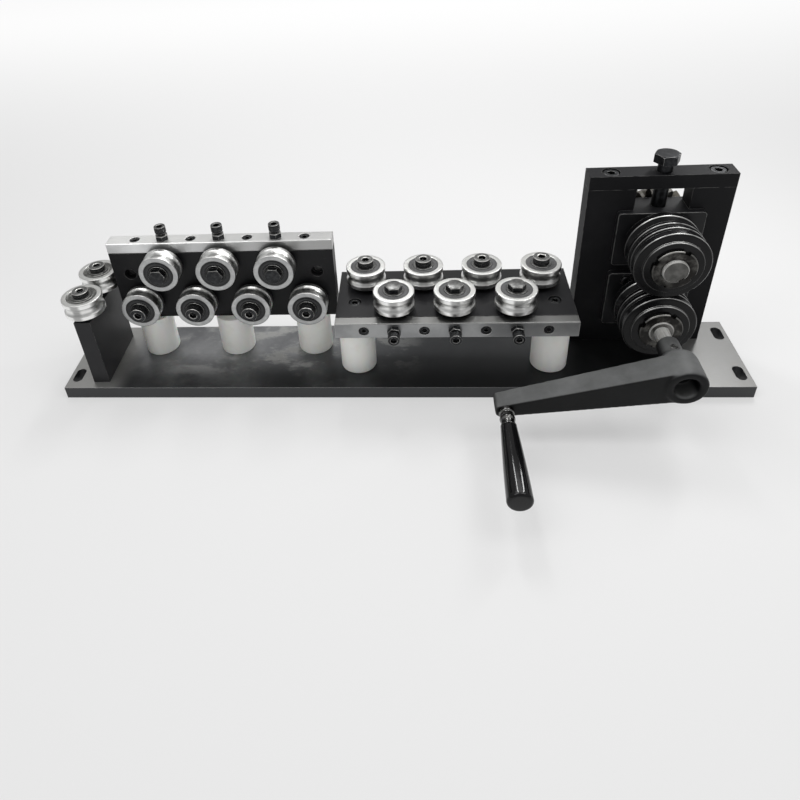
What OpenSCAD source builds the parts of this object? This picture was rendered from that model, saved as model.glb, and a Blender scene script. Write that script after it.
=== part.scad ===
// Hand cranked wire straightener: a guide pair, two seven-roller units
// set square to each other, and a pair of geared feed rolls.
// X runs along the wire, +Y points to the back, +Z is up.
// The origin is the centre of the base plate's underside.

/* [Base] */
// Length of the base plate along the wire
base_l = 612; // [600:1:640]
// Depth of the base plate
base_w = 90; // [88:1:100]
// Thickness of the base plate
base_t = 12; // [10:0.5:14]
// Width of each bench slot
slot_w = 9; // [6:0.5:10]
// End-to-end length of each bench slot
slot_len = 18; // [14:1:20]
// Distance of the bench slots from the plate's ends
slot_in = 8; // [7:0.5:9]
// Distance between the front and back slots
slot_gap = 55; // [50:1:58]

/* [Wire line] */
// Position of the wire line in depth
wire_y = -3; // [-4:0.5:-2]
// Height of the wire line above the bench
wire_z = 93.5; // [92:0.5:100]

/* [Rollers] */
// Outside diameter of a straightening roller
roller_d = 35; // [34:0.5:36]
// Width of a straightening roller
roller_w = 16; // [14:0.5:16]
// Radius of the groove's round bottom
groove_r = 6; // [5:0.5:7]
// Depth of the groove below the rim
groove_depth = 1.5; // [1:0.1:2]
// Gap between a roller and the plate that carries it
roller_gap = 4.4; // [4:0.1:5]

/* [Straightening units] */
// Length of a unit
unit_l = 202; // [200:1:210]
// Height of a unit, with its bar
unit_h = 80; // [80:1:84]
// Thickness of the plate and depth of the bar
plate_t = 15; // [15:1:18]
// Thickness of the bar
bar_t = 10; // [9:0.5:10]
// Distance between neighbouring axles in a row
pitch = 51; // [50:0.5:51]
// Pressing row's distance from the bar's outer face
press_row = 20; // [19.5:0.5:21]
// Fixed row's distance from the bar's outer face
fixed_row = 59; // [59:0.5:61]
// Left end of the upright unit
upright_x = -254; // [-256:1:-253]
// Left end of the flat unit
flat_x = -49; // [-49:1:-47]
// Diameter of the round spacer posts
post_d = 32; // [28:1:32]

/* [Entry guide] */
// Position of the guide post along the wire
entry_x = -272.5; // [-276:0.5:-272]
// Thickness of the guide post along the wire
entry_t = 15; // [14:0.5:16]
// Depth of the guide post
entry_w = 68; // [66:1:72]
// Distance between the two guide axles
guide_gap = 40.5; // [40:0.5:44]

/* [Feed drive] */
// Position of the feed rolls along the wire
drive_x = 222; // [216:0.5:222]
// Width of the upright drive plate
drive_w = 116; // [112:1:120]
// Offset of the drive plate's middle from the roll shafts
plate_off = -2.5; // [-3:0.5:0]
// Thickness of the drive plate
drive_t = 18; // [18:1:20]
// Front face of the drive plate
drive_y = 20; // [20:0.5:21]
// Top of the drive plate
drive_top = 168; // [166:1:176]
// Radius of a feed roll's lands
roll_r = 30; // [29:0.5:30]
// Distance between the two roll shafts
roll_gap = 61; // [60.6:0.1:61.5]
// Front face of the feed rolls
roll_front = -28; // [-30:0.1:-27]
// Back face of the feed rolls
roll_back = 8; // [6:0.5:9]
// Radius at the bottom of the wire groove
vee_root = 25.8; // [25:0.1:26.5]

/* [Gears] */
// Module of the gear pair
gear_m = 3; // [3:0.1:3]
// Teeth on each gear
gear_n = 20; // [20:1:20]
// Thickness of each gear
gear_t = 12; // [8:1:14]

/* [Crank] */
// Distance from the shaft to the handle's axis
crank_len = 134.8; // [120:0.1:140]
// Angle of the arm below the horizontal
crank_dip = 10.6; // [0:0.1:20]
// Length of the revolving grip
grip_len = 71; // [60:1:90]
// Largest radius of the grip
grip_r = 9.5; // [8:0.1:11]

/* [Hidden] */
$fn = 64;

// Radial play of a turning or sliding fit
play = 0.05;
// Gap that keeps neighbouring pieces of one set apart
seam = 0.05;

// Roller: seal ring and inner ring radii
rim_in = 13.3;
ring_bore = 8.5;
w0 = roller_gap;
w1 = roller_gap + roller_w;
w_mid = roller_gap + roller_w / 2;

// Unit positions: the wire line is halfway between the rows
row_mid = (press_row + fixed_row) / 2;
upright_y = wire_y + w_mid;
upright_z = wire_z + row_mid - unit_h;
flat_y = wire_y - row_mid;
flat_z = wire_z - w_mid;
plate_h = unit_h - bar_t;
first_u = (unit_l - 3 * pitch) / 2;
fixed_v = unit_h - fixed_row;
press_v = unit_h - press_row;
fixed_us = [for (i = [0:3]) first_u + i * pitch];
press_us = [for (i = [0:2]) first_u + (i + 0.5) * pitch];
// Through holes that hold the unit down when it lies flat
hold_us = [15.3, unit_l - 15.3];
hold_v = unit_h - 32;
hold_r = 3.3;
hold_sink = 6.6;
// Posts under the upright unit's lower edge
foot_us = [25, unit_l / 2, unit_l - 25];

// Slide block of a pressing roller
block_w = 20;
block_lo = press_v - 12;
block_hi = press_v + 6;
block_slot_lo = block_lo - 4;
flange_w = 26;
flange_t = 2;

// Roller axle: washer sunk between the seals, and the screw on it
sink = 1.4;
washer_r = 8.4;
washer_t = 1.6;
seat_z = w1 - sink + washer_t + 2 * seam;

// Adjusting screw and its lock nut
adj_r = 3;
lock_h = 5;
adj_head_lo = unit_h + 7.5;
adj_head_h = 6;

// Entry guide
entry_top = wire_z - w_mid;
guide_ys = [wire_y - guide_gap / 2, wire_y + guide_gap / 2];

// Feed drive
low_z = wire_z - roll_gap / 2;
up_z = wire_z + roll_gap / 2;
shaft_r = 10;
stub_r = 6;
flange_y = drive_y - 6;
housing_w = 70;
lower_h = 54;
upper_h = 50;
// Screws of the lower housing, and those along the plate's edges
flange_screw = 20;
edge_screw_x = 42;
guide_w = 44;
drive_back = drive_y + drive_t;
rear_t = 4;
gear_y = drive_back + rear_t + 1;
shaft_back = gear_y + gear_t + 2;
cap_h = 12;
size_ys = [-12.3, -19.3];
nut_y = roll_front - 2.5;
nut_t = 3.2;

// Crank
hub_back = -49;
hub_front = -102.6;
arm_front = -100.6;
arm_hub_back = -77;
arm_end_back = -83.5;
stub_end = -84;
boss_r = 9;
hub_r = 16;
hub_face_r = 14.6;
arm_half = 15.4;
end_half = 6.3;
end_over = 8.6;
pin_r = 4;
grip_y = -118.6;
neck_r = 6.3;
set_screw_y = -62.5;
set_screw_turn = crank_dip + 5;
mouth_deep = 16;

steel = [0.78, 0.78, 0.76];
ground = [0.86, 0.87, 0.86];
black = [0.10, 0.10, 0.11];
oxide = [0.17, 0.17, 0.18];
nylon = [0.82, 0.82, 0.78];
cast = [0.27, 0.28, 0.28];

// ---------- placing helpers ----------

// A point of the upright unit; local +Z points from the plate to the viewer
module at_upright(u, v) {
    translate([upright_x + u, upright_y, upright_z + v])
        rotate([90, 0, 0])
            children();
}

// The same point of the flat unit; local +Z points up
module at_flat(u, v) {
    translate([flat_x + u, flat_y + unit_h - v, flat_z])
        rotate([0, 0, 180])
            children();
}

// An axle of the entry guide
module at_guide(i) {
    translate([entry_x, guide_ys[i], entry_top])
        children();
}

// A shaft of the feed drive; local +Z points to the back
module at_shaft(z) {
    translate([drive_x, 0, z])
        rotate([-90, 0, 0])
            children();
}

// ---------- fasteners ----------

// Socket cap screw standing on z = 0, shank downwards
module cap_screw(r, len, head_r, head_h, key) {
    difference() {
        union() {
            translate([0, 0, -len])
                cylinder(r = r, h = len + 0.5);
            rotate_extrude()
                polygon([[0, 0], [head_r, 0], [head_r, head_h - 0.6],
                    [head_r - 0.6, head_h], [0, head_h]]);
        }
        translate([0, 0, head_h * 0.45])
            cylinder(d = key / cos(30), h = head_h, $fn = 6);
    }
}

// Six-sided head or nut with a turned chamfer on its outer side
module hex_head(flats, h) {
    corner = flats / cos(30) / 2;
    intersection() {
        cylinder(r = corner, h = h, $fn = 6);
        rotate_extrude()
            polygon([[0, 0], [corner + 0.1, 0], [corner + 0.1, h - 0.9],
                [flats / 2 - 0.2, h], [0, h]]);
    }
}

// Hexagon bolt standing on z = 0, shank downwards
module hex_bolt(r, len, flats, h) {
    hex_head(flats, h);
    translate([0, 0, -len])
        cylinder(r = r, h = len + 0.5);
}

// Flat washer with a through hole
module washer(r_out, r_in, h) {
    difference() {
        cylinder(r = r_out, h = h);
        translate([0, 0, -1])
            cylinder(r = r_in, h = h + 2);
    }
}

// ---------- rollers ----------

// Outer ring of a track roller with its round groove and recessed seals
module roller_ring() {
    r = roller_d / 2;
    c = 0.8;
    s = 0.5;
    color(steel)
        rotate_extrude($fn = 96)
            difference() {
                polygon([[ring_bore, w0 + s], [rim_in, w0 + s], [rim_in, w0],
                    [r - c, w0], [r, w0 + c], [r, w1 - c], [r - c, w1],
                    [rim_in, w1], [rim_in, w1 - s], [ring_bore, w1 - s]]);
                translate([r - groove_depth + groove_r, w_mid])
                    circle(r = groove_r, $fn = 64);
            }
}

// Inner ring with its spacer, from the seat to the outer face
module sleeve(seat) {
    difference() {
        union() {
            translate([0, 0, seat])
                cylinder(r = 7.6, h = w0 - seat + 0.5);
            translate([0, 0, w0])
                cylinder(r = ring_bore - play, h = roller_w - sink);
        }
        translate([0, 0, seat - 1])
            cylinder(r = 4.1, h = w1 + 4);
    }
}

// Washer on the sleeve's outer end
module axle_washer() {
    translate([0, 0, w1 - sink + seam])
        washer(washer_r, 4.2, washer_t);
}

// Axle of a fixed roller: sleeve, washer and socket cap screw
module fixed_axle(head_h) {
    sleeve(0);
    axle_washer();
    translate([0, 0, seat_z])
        cap_screw(4, 32, 7, head_h, 6);
}

// Axle of a pressing roller: sleeve, washers, hexagon bolt and back nut
module press_axle() {
    color(steel) {
        sleeve(flange_t + 2 * seam);
        translate([0, 0, -plate_t - 2 * seam - 2])
            washer(13, 4.2, 2);
    }
    color(oxide) {
        axle_washer();
        translate([0, 0, seat_z])
            hex_bolt(4, 45, 13, 5.3);
        translate([0, 0, -plate_t - 3 * seam - 8.5])
            difference() {
                hex_head(13, 6.5);
                translate([0, 0, -1])
                    cylinder(r = 4.1, h = 9);
            }
    }
}

// ---------- straightening units ----------

// Plate seen from its roller side, from its lower left corner
module unit_plate() {
    difference() {
        translate([0, 0, -plate_t])
            linear_extrude(plate_t)
                difference() {
                    square([unit_l, plate_h]);
                    for (u = press_us)
                        translate([u - block_w / 2 - play, block_slot_lo])
                            square([block_w + 2 * play, plate_h]);
                }
        for (u = fixed_us)
            translate([u, fixed_v, -plate_t - 1])
                cylinder(r = 4.1, h = plate_t + 2);
        for (u = hold_us)
            translate([u, hold_v, 0]) {
                translate([0, 0, -plate_t - 1])
                    cylinder(r = hold_r, h = plate_t + 2);
                translate([0, 0, -hold_sink])
                    cylinder(r = 5.5, h = hold_sink + 1);
            }
        // tapped holes for the bar's screws
        for (u = fixed_us)
            translate([u, plate_h + 1, -plate_t / 2])
                rotate([90, 0, 0])
                    cylinder(r = 2.6, h = 16);
        // tapped holes in the lower edge
        for (u = foot_us)
            translate([u, -1, -plate_t / 2])
                rotate([-90, 0, 0])
                    cylinder(r = 4.1, h = 14);
    }
}

// Bar that closes the slide slots and carries the adjusting screws
module unit_bar() {
    e = 0.6;
    difference() {
        translate([0, plate_h, 0])
            rotate([90, 0, 90])
                linear_extrude(unit_l)
                    polygon([[e, -plate_t], [bar_t - e, -plate_t],
                        [bar_t, e - plate_t], [bar_t, -e], [bar_t - e, 0],
                        [e, 0], [0, -e], [0, e - plate_t]]);
        for (u = fixed_us)
            translate([u, unit_h + 1, -plate_t / 2])
                rotate([90, 0, 0]) {
                    cylinder(r = 2.75, h = bar_t + 2);
                    cylinder(r = 4.5, h = 6.5);
                }
        for (u = press_us)
            translate([u, unit_h + 1, -plate_t / 2])
                rotate([90, 0, 0])
                    cylinder(r = adj_r + play, h = bar_t + 2);
    }
}

// Slide block with its front flange, centred on the axle
module carrier() {
    lo = block_lo - press_v;
    hi = block_hi - press_v;
    color(oxide)
        difference() {
            union() {
                translate([-block_w / 2, lo, -plate_t - seam])
                    cube([block_w, hi - lo, plate_t + 2 * seam]);
                translate([-flange_w / 2, lo, seam])
                    cube([flange_w, hi - lo, flange_t]);
            }
            translate([0, 0, -plate_t - 1])
                cylinder(r = 4.1, h = plate_t + flange_t + 3);
        }
}

// Adjusting screw, drawn from the block up through the bar
module adjuster() {
    lo = block_hi + seam - press_v;
    head = adj_head_lo - press_v;
    color(oxide)
        translate([0, 0, -plate_t / 2])
            rotate([-90, 0, 0])
                translate([0, 0, head])
                    cap_screw(adj_r, head - lo, 5, adj_head_h, 5);
}

// Lock nut of one adjusting screw, resting on the bar
module lock_nut() {
    translate([0, unit_h - press_v + seam, -plate_t / 2])
        rotate([-90, 0, 0])
            difference() {
                rotate([0, 0, 15])
                    hex_head(10, lock_h);
                translate([0, 0, -1])
                    cylinder(r = adj_r + play, h = lock_h + 2);
            }
}

// ---------- feed drive ----------

// One outline point of an involute at pressure radius rb and roll angle t
function inv_pt(rb, t, turn) =
    let (a = t - turn)
    [rb * (cos(a) + t * PI / 180 * sin(a)),
     rb * (sin(a) - t * PI / 180 * cos(a))];

// Involute function of an angle, in degrees
function inv(a) = tan(a) * 180 / PI - a;

// Outline of one tooth side, from root to tip
function flank(rb, r_root, r_tip, half, n) =
    let (t1 = sqrt(pow(r_tip / rb, 2) - 1) * 180 / PI)
    concat([[r_root * cos(half + 1.2), -r_root * sin(half + 1.2)]],
        [for (i = [0:n]) inv_pt(rb, t1 * i / n, half)]);

// Whole outline of a spur gear with a tooth centred on +X
function gear_points(m, n, thin) =
    let (rp = m * n / 2,
        rb = rp * cos(20),
        half = 90 / n - thin + inv(20),
        one = flank(rb, rp - 1.25 * m, rp + m, half, 5),
        k = len(one),
        tooth = concat(one, [for (i = [k - 1:-1:0]) [one[i][0], -one[i][1]]]))
    [for (j = [0:n - 1], p = tooth)
        [p[0] * cos(j * 360 / n) - p[1] * sin(j * 360 / n),
         p[0] * sin(j * 360 / n) + p[1] * cos(j * 360 / n)]];

// Spur gear standing on z = 0, with a round boss below it
module spur_gear(turn, boss) {
    difference() {
        union() {
            rotate([0, 0, turn])
                linear_extrude(gear_t)
                    polygon(gear_points(gear_m, gear_n, 0.15));
            translate([0, 0, -boss])
                cylinder(r = 15, h = boss + 0.5);
        }
        translate([0, 0, -boss - 1])
            cylinder(r = shaft_r + 0.02, h = gear_t + boss + 2);
        // shallow turned face
        translate([0, 0, gear_t - 2])
            difference() {
                cylinder(r = 23, h = 3);
                translate([0, 0, -1])
                    cylinder(r = 15, h = 5);
            }
    }
}

// Outline of a small wire groove in a roll's land
function size_groove(y) = [[roll_r, y + 1.7], [roll_r - 1.7, y + 0.3],
    [roll_r - 1.7, y - 0.3], [roll_r, y - 1.7]];

// Front disc of a feed roll: land, two size grooves and one side of the vee
module roll_disc_front() {
    b = shaft_r + 0.02;
    half = roll_r - vee_root;
    rotate_extrude($fn = 128)
        polygon(concat([[b, wire_y - seam], [vee_root, wire_y - seam],
            [roll_r - 0.5, wire_y - half + 0.4], [roll_r, wire_y - half - 0.3]],
            size_groove(size_ys[0]), size_groove(size_ys[1]), [[roll_r, roll_front + 1.2],
            [roll_r - 1.2, roll_front], [24.3, roll_front], [23.5, roll_front - 0.4],
            [23.5, nut_y + 0.8], [22.7, nut_y], [b, nut_y]]));
}

// Back disc of a feed roll: the other side of the vee and the back land
module roll_disc_back() {
    b = shaft_r + 0.02;
    half = roll_r - vee_root;
    rotate_extrude($fn = 128)
        polygon([[b, wire_y + seam], [vee_root, wire_y + seam],
            [roll_r - 0.5, wire_y + half - 0.4], [roll_r, wire_y + half + 0.3],
            [roll_r, roll_back - 1], [roll_r - 1, roll_back], [b, roll_back]]);
}

// Round nut with four spanner slots
module slotted_nut() {
    difference() {
        rotate_extrude($fn = 96)
            polygon([[shaft_r + 0.02, nut_y - seam], [17.5, nut_y - seam],
                [17.5, nut_y - nut_t + 1], [16.5, nut_y - nut_t],
                [shaft_r + 0.02, nut_y - nut_t]]);
        for (a = [25, 115, 205, 295])
            rotate([0, 0, a])
                translate([15, -2.4, nut_y - nut_t - 1])
                    cube([5, 4.8, nut_t + 2]);
    }
}

// Shaft body from the nut's front to behind the gear
module shaft_body(front) {
    rotate_extrude($fn = 96)
        polygon([[0, front], [shaft_r - 0.8, front], [shaft_r, front + 0.8],
            [shaft_r, roll_back + seam], [14, roll_back + seam],
            [14, flange_y - 0.2], [shaft_r, flange_y - 0.2],
            [shaft_r, shaft_back - 1], [shaft_r - 1, shaft_back],
            [0, shaft_back]]);
}

// Square housing plate with rounded corners
module housing_flange(w, h, t) {
    linear_extrude(t)
        difference() {
            square([w, h], center = true);
            for (a = [-1, 1], b = [-1, 1])
                translate([a * (w / 2 - 3), b * (h / 2 - 3)])
                    difference() {
                        translate([a * 3, b * 3])
                            square(6, center = true);
                        circle(r = 3);
                    }
        }
}

// ---------- crank ----------

// Radius of the hub casting at a depth between its back and front
function hub_at(y) =
    let (t = min(1, max(0, (-65 - y) / 11)))
    boss_r + (hub_r - boss_r) * t * t * (3 - 2 * t);

// Places the crank's own frame, with the arm along -X
module at_crank() {
    translate([drive_x, 0, low_z])
        rotate([0, -crank_dip, 0])
            children();
}

// Outline of the arm seen from the front, with a squared, rounded end
module arm_front_outline() {
    c = 2.5;
    l = crank_len + end_over;
    polygon([[0, arm_half], [-crank_len, end_half], [-l + c, end_half - 0.4],
        [-l, end_half - 0.4 - c], [-l, c - end_half + 0.4],
        [-l + c, 0.4 - end_half], [-crank_len, -end_half], [0, -arm_half]]);
}

// Grip radius at a share of its length: slim neck, swelling to the end
function grip_at(s) = neck_r + (grip_r - neck_r) * sin(min(90, 76 * s)) / sin(76);

// ======================= pieces =======================

module base_plate() {
    color(black)
        difference() {
            translate([-base_l / 2, -base_w / 2, 0])
                cube([base_l, base_w, base_t]);
            for (a = [-1, 1], b = [-1, 1])
                translate([a * (base_l / 2 - slot_in), b * slot_gap / 2, -1]) {
                    for (c = [-1, 1])
                        translate([0, c * (slot_len - slot_w) / 2, 0])
                            cylinder(d = slot_w, h = base_t + 2);
                    translate([-slot_w / 2, -(slot_len - slot_w) / 2, 0])
                        cube([slot_w, slot_len - slot_w, base_t + 2]);
                }
            // screws that come up from below
            for (p = screw_feet)
                translate([p[0], p[1], -1]) {
                    cylinder(r = 4.2, h = base_t + 2);
                    cylinder(r = 7.2, h = 9.6);
                }
            // screws that come down through the flat unit
            for (u = hold_us)
                translate([flat_x + u, flat_y + unit_h - hold_v, 3])
                    cylinder(r = 3.1, h = base_t);
        }
}

// Screws from below: upright unit, entry post and drive plate
upright_feet = [for (u = foot_us) [upright_x + u, upright_y + plate_t / 2]];
entry_feet = [for (d = [-22, 22]) [entry_x, wire_y + d]];
drive_feet = [for (d = [-1, 0, 1]) [drive_x + d * edge_screw_x, drive_y + drive_t / 2]];
screw_feet = concat(upright_feet, entry_feet, drive_feet);

module spacer_post(x, y, top) {
    translate([x, y, base_t])
        difference() {
            rotate_extrude()
                polygon([[0, 0], [post_d / 2 - 0.8, 0], [post_d / 2, 0.8],
                    [post_d / 2, top - base_t - 0.8],
                    [post_d / 2 - 0.8, top - base_t], [0, top - base_t]]);
            translate([0, 0, -1])
                cylinder(r = 4.2, h = top);
        }
}

module nylon_posts() {
    color(nylon) {
        for (p = upright_feet)
            spacer_post(p[0], p[1], upright_z);
        for (u = hold_us)
            spacer_post(flat_x + u, flat_y + unit_h - hold_v, flat_z - plate_t);
    }
}

module cap_screws() {
    color(oxide) {
        for (u = fixed_us) {
            at_upright(u, unit_h - 5.5)
                translate([0, 0, -plate_t / 2])
                    rotate([-90, 0, 0])
                        cap_screw(2.5, 16, 4.25, 5, 4);
            at_flat(u, unit_h - 5.5)
                translate([0, 0, -plate_t / 2])
                    rotate([-90, 0, 0])
                        cap_screw(2.5, 16, 4.25, 5, 4);
        }
        for (u = hold_us)
            at_flat(u, hold_v)
                translate([0, 0, -hold_sink])
                    cap_screw(3, 66, 5, 6, 5);
        for (p = upright_feet)
            translate([p[0], p[1], 8.6])
                rotate([180, 0, 0])
                    cap_screw(4, upright_z - 8.6 + 11, 6.5, 8, 6);
        for (p = concat(entry_feet, drive_feet))
            translate([p[0], p[1], 8.6])
                rotate([180, 0, 0])
                    cap_screw(4, 20, 6.5, 8, 6);
        for (a = [-1, 1], b = [-1, 1])
            at_shaft(low_z)
                translate([a * flange_screw, b * flange_screw, flange_y + 3])
                    rotate([180, 0, 0])
                        cap_screw(2.5, 16, 4.25, 5, 4);
        for (a = [-1, 1])
            translate([drive_x + a * edge_screw_x, drive_y + drive_t / 2, drive_top + cap_h - 8.6])
                cap_screw(4, 20, 6.5, 8, 6);
    }
}

module entry_post() {
    color(black)
        difference() {
            translate([entry_x - entry_t / 2, wire_y - entry_w / 2, base_t])
                cube([entry_t, entry_w, entry_top - base_t]);
            for (i = [0, 1])
                at_guide(i)
                    translate([0, 0, -16])
                        cylinder(r = 4.1, h = 20);
            for (p = entry_feet)
                translate([p[0], p[1], base_t - 1])
                    cylinder(r = 4.1, h = 20);
        }
}

module fixed_axles() {
    color(oxide) {
        for (u = fixed_us) {
            at_upright(u, fixed_v)
                fixed_axle(7.4);
            at_flat(u, fixed_v)
                fixed_axle(6.2);
        }
        for (i = [0, 1])
            at_guide(i)
                fixed_axle(4.9);
    }
}

module guide_roller_front() {
    at_guide(0)
        roller_ring();
}

module guide_roller_back() {
    at_guide(1)
        roller_ring();
}

module upright_plate() {
    color(black)
        at_upright(0, 0)
            unit_plate();
}

module upright_bar() {
    color(ground)
        at_upright(0, 0)
            unit_bar();
}

module upright_fixed_roller(i) {
    at_upright(fixed_us[i - 1], fixed_v)
        roller_ring();
}

module upright_press_roller(i) {
    at_upright(press_us[i - 1], press_v)
        roller_ring();
}

module upright_carrier(i) {
    at_upright(press_us[i - 1], press_v)
        carrier();
}

module upright_axle(i) {
    at_upright(press_us[i - 1], press_v)
        press_axle();
}

module upright_screw(i) {
    at_upright(press_us[i - 1], press_v)
        adjuster();
}

module flat_plate() {
    color(black)
        at_flat(unit_l, 0)
            unit_plate();
}

module flat_bar() {
    color(ground)
        at_flat(unit_l, 0)
            unit_bar();
}

module flat_fixed_roller(i) {
    at_flat(fixed_us[i - 1], fixed_v)
        roller_ring();
}

module flat_press_roller(i) {
    at_flat(press_us[i - 1], press_v)
        roller_ring();
}

module flat_carrier(i) {
    at_flat(press_us[i - 1], press_v)
        carrier();
}

module flat_axle(i) {
    at_flat(press_us[i - 1], press_v)
        press_axle();
}

module flat_screw(i) {
    at_flat(press_us[i - 1], press_v)
        adjuster();
}

module lock_nuts() {
    color(oxide)
        for (u = press_us) {
            at_upright(u, press_v)
                lock_nut();
            at_flat(u, press_v)
                lock_nut();
        }
}

module drive_plate() {
    slot_lo = up_z - upper_h / 2 - 1.5;
    color(black)
        difference() {
            translate([drive_x, drive_back, 0])
                rotate([90, 0, 0])
                    linear_extrude(drive_t)
                        difference() {
                            translate([plate_off - drive_w / 2, base_t])
                                square([drive_w, drive_top - base_t]);
                            translate([-guide_w / 2 - play, slot_lo])
                                square([guide_w + 2 * play, drive_top]);
                            translate([0, low_z])
                                circle(r = 23.05);
                        }
            for (p = drive_feet)
                translate([p[0], p[1], base_t - 1])
                    cylinder(r = 4.1, h = 20);
            for (a = [-1, 1], b = [-1, 1])
                at_shaft(low_z)
                    translate([a * flange_screw, b * flange_screw, drive_y - 1])
                        cylinder(r = 2.6, h = 14);
            for (a = [-1, 1])
                translate([drive_x + a * edge_screw_x, drive_y + drive_t / 2, drive_top - 18])
                    cylinder(r = 4.1, h = 20);
        }
}

module drive_cap() {
    color(black)
        difference() {
            translate([drive_x + plate_off - drive_w / 2, drive_y, drive_top])
                cube([drive_w, drive_t, cap_h]);
            translate([drive_x, drive_y + drive_t / 2, drive_top - 1])
                cylinder(r = 6 + play, h = cap_h + 2);
            for (a = [-1, 1])
                translate([drive_x + a * edge_screw_x, drive_y + drive_t / 2, drive_top - 1]) {
                    cylinder(r = 4.2, h = cap_h + 2);
                    translate([0, 0, cap_h + 1 - 8.6])
                        cylinder(r = 7.2, h = 10);
                }
        }
}

module lower_housing() {
    color(black)
        at_shaft(low_z)
            difference() {
                union() {
                    translate([0, 0, flange_y])
                        housing_flange(housing_w, lower_h, 6);
                    translate([0, 0, drive_y - 0.5])
                        cylinder(r = 23, h = drive_t + 0.5);
                }
                translate([0, 0, flange_y - 1])
                    cylinder(r = shaft_r + play, h = drive_t + 9);
                for (a = [-1, 1], b = [-1, 1])
                    translate([a * flange_screw, b * flange_screw, flange_y - 1]) {
                        cylinder(r = 2.75, h = 9);
                        cylinder(r = 4.8, h = 4);
                    }
            }
}

module upper_housing() {
    color(black)
        at_shaft(up_z)
            difference() {
                union() {
                    translate([0, 0, flange_y])
                        housing_flange(housing_w, upper_h, 6 - seam);
                    translate([0, 0, drive_y - 0.5])
                        linear_extrude(drive_t + 1)
                            square([guide_w, upper_h], center = true);
                    translate([0, 0, drive_back + seam])
                        housing_flange(56, upper_h, rear_t - seam);
                }
                translate([0, 0, flange_y - 1])
                    cylinder(r = shaft_r + play, h = drive_t + 13);
            }
}

module lower_shaft() {
    color(ground)
        at_shaft(low_z) {
            shaft_body(nut_y - nut_t - 0.9);
            rotate_extrude($fn = 96)
                polygon([[0, stub_end], [stub_r - 0.6, stub_end],
                    [stub_r, stub_end + 0.6], [stub_r, nut_y], [0, nut_y]]);
        }
}

module upper_shaft() {
    front = nut_y - nut_t - 2.8;
    color(ground)
        at_shaft(up_z)
            difference() {
                shaft_body(front);
                // keyway that runs out at the front end
                rotate([0, 0, 55])
                    translate([shaft_r - 2.5, -2.5, front - 1])
                        cube([5, 5, 12]);
            }
}

module lower_roll() {
    color(oxide)
        at_shaft(low_z) {
            roll_disc_front();
            roll_disc_back();
        }
}

module upper_roll() {
    color(oxide)
        at_shaft(up_z) {
            roll_disc_front();
            roll_disc_back();
        }
}

module lower_nut() {
    color(oxide)
        at_shaft(low_z)
            slotted_nut();
}

module upper_nut() {
    color(oxide)
        at_shaft(up_z)
            slotted_nut();
}

module lower_gear() {
    color(steel)
        at_shaft(low_z)
            translate([0, 0, gear_y])
                spur_gear(90, gear_y - drive_back - 0.5);
}

module upper_gear() {
    color(steel)
        at_shaft(up_z)
            translate([0, 0, gear_y])
                spur_gear(90 + 180 / gear_n, 0.6);
}

module crank_arm() {
    n = 12;
    color(cast)
        at_crank()
            difference() {
                union() {
                    // slim back boss that widens to the hub
                    rotate([-90, 0, 0])
                        rotate_extrude()
                            polygon(concat([[0, hub_back], [boss_r - 1, hub_back]],
                                [for (i = [0:n])
                                    let (y = hub_back - 1 - 27 * i / n)
                                    [hub_at(y), y]],
                                [[hub_r, hub_front + 1.2], [hub_face_r, hub_front],
                                    [0, hub_front]]));
                    // arm: front outline trimmed by its plan taper
                    intersection() {
                        translate([0, -70, 0])
                            rotate([90, 0, 0])
                                linear_extrude(-70 - arm_front)
                                    arm_front_outline();
                        translate([0, 0, -30])
                            linear_extrude(60)
                                polygon([[0, arm_front], [0, arm_hub_back],
                                    [-crank_len, arm_end_back],
                                    [-crank_len - end_over + 1, arm_end_back - 0.4],
                                    [-crank_len - end_over - 1, arm_end_back - 2.4],
                                    [-crank_len - end_over - 1, arm_front]]);
                    }
                }
                rotate([-90, 0, 0]) {
                    // bore for the shaft's stub
                    translate([0, 0, stub_end])
                        cylinder(r = stub_r + 0.02, h = 60);
                    // wide mouth at the front with a chamfer, and a vent between
                    rotate_extrude()
                        polygon([[0, hub_front + mouth_deep], [9, hub_front + mouth_deep],
                            [9, hub_front + 1.6], [11, hub_front - 0.4],
                            [0, hub_front - 0.4]]);
                    translate([0, 0, hub_front + mouth_deep - 1])
                        cylinder(r = 4.5, h = 8);
                }
                // hole for the handle's pin
                translate([-crank_len, -70, 0])
                    rotate([90, 0, 0])
                        cylinder(r = pin_r + 0.02, h = 40);
                // tapped hole for the set screw
                rotate([0, set_screw_turn, 0])
                    translate([0, set_screw_y, 0])
                        cylinder(r = 3, h = 20);
            }
}

module crank_pins() {
    at_crank() {
        // spindle of the handle, with a collar and a polished neck
        color(steel)
            translate([-crank_len, arm_front - seam, 0])
                rotate([90, 0, 0]) {
                    translate([0, 0, -11])
                        cylinder(r = pin_r, h = 11.5);
                    rotate_extrude()
                        polygon([[0, 0], [5.7, 0], [6.2, 0.5], [6.2, 3.5], [5.3, 4.2],
                            [5.3, 5], [5.9, 6.6], [6.1, 9], [5.9, 11.4], [5.3, 13],
                            [5, 17.6], [0, 17.6]]);
                    translate([0, 0, 17])
                        cylinder(r = pin_r, h = grip_len - 13);
                }
        // set screw in the back boss
        color(oxide)
            rotate([0, set_screw_turn, 0])
                translate([0, set_screw_y, stub_r + seam])
                    difference() {
                        cylinder(r = 2.95, h = 2.4);
                        translate([0, 0, 0.9])
                            cylinder(d = 3 / cos(30), h = 4, $fn = 6);
                    }
    }
}

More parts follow.
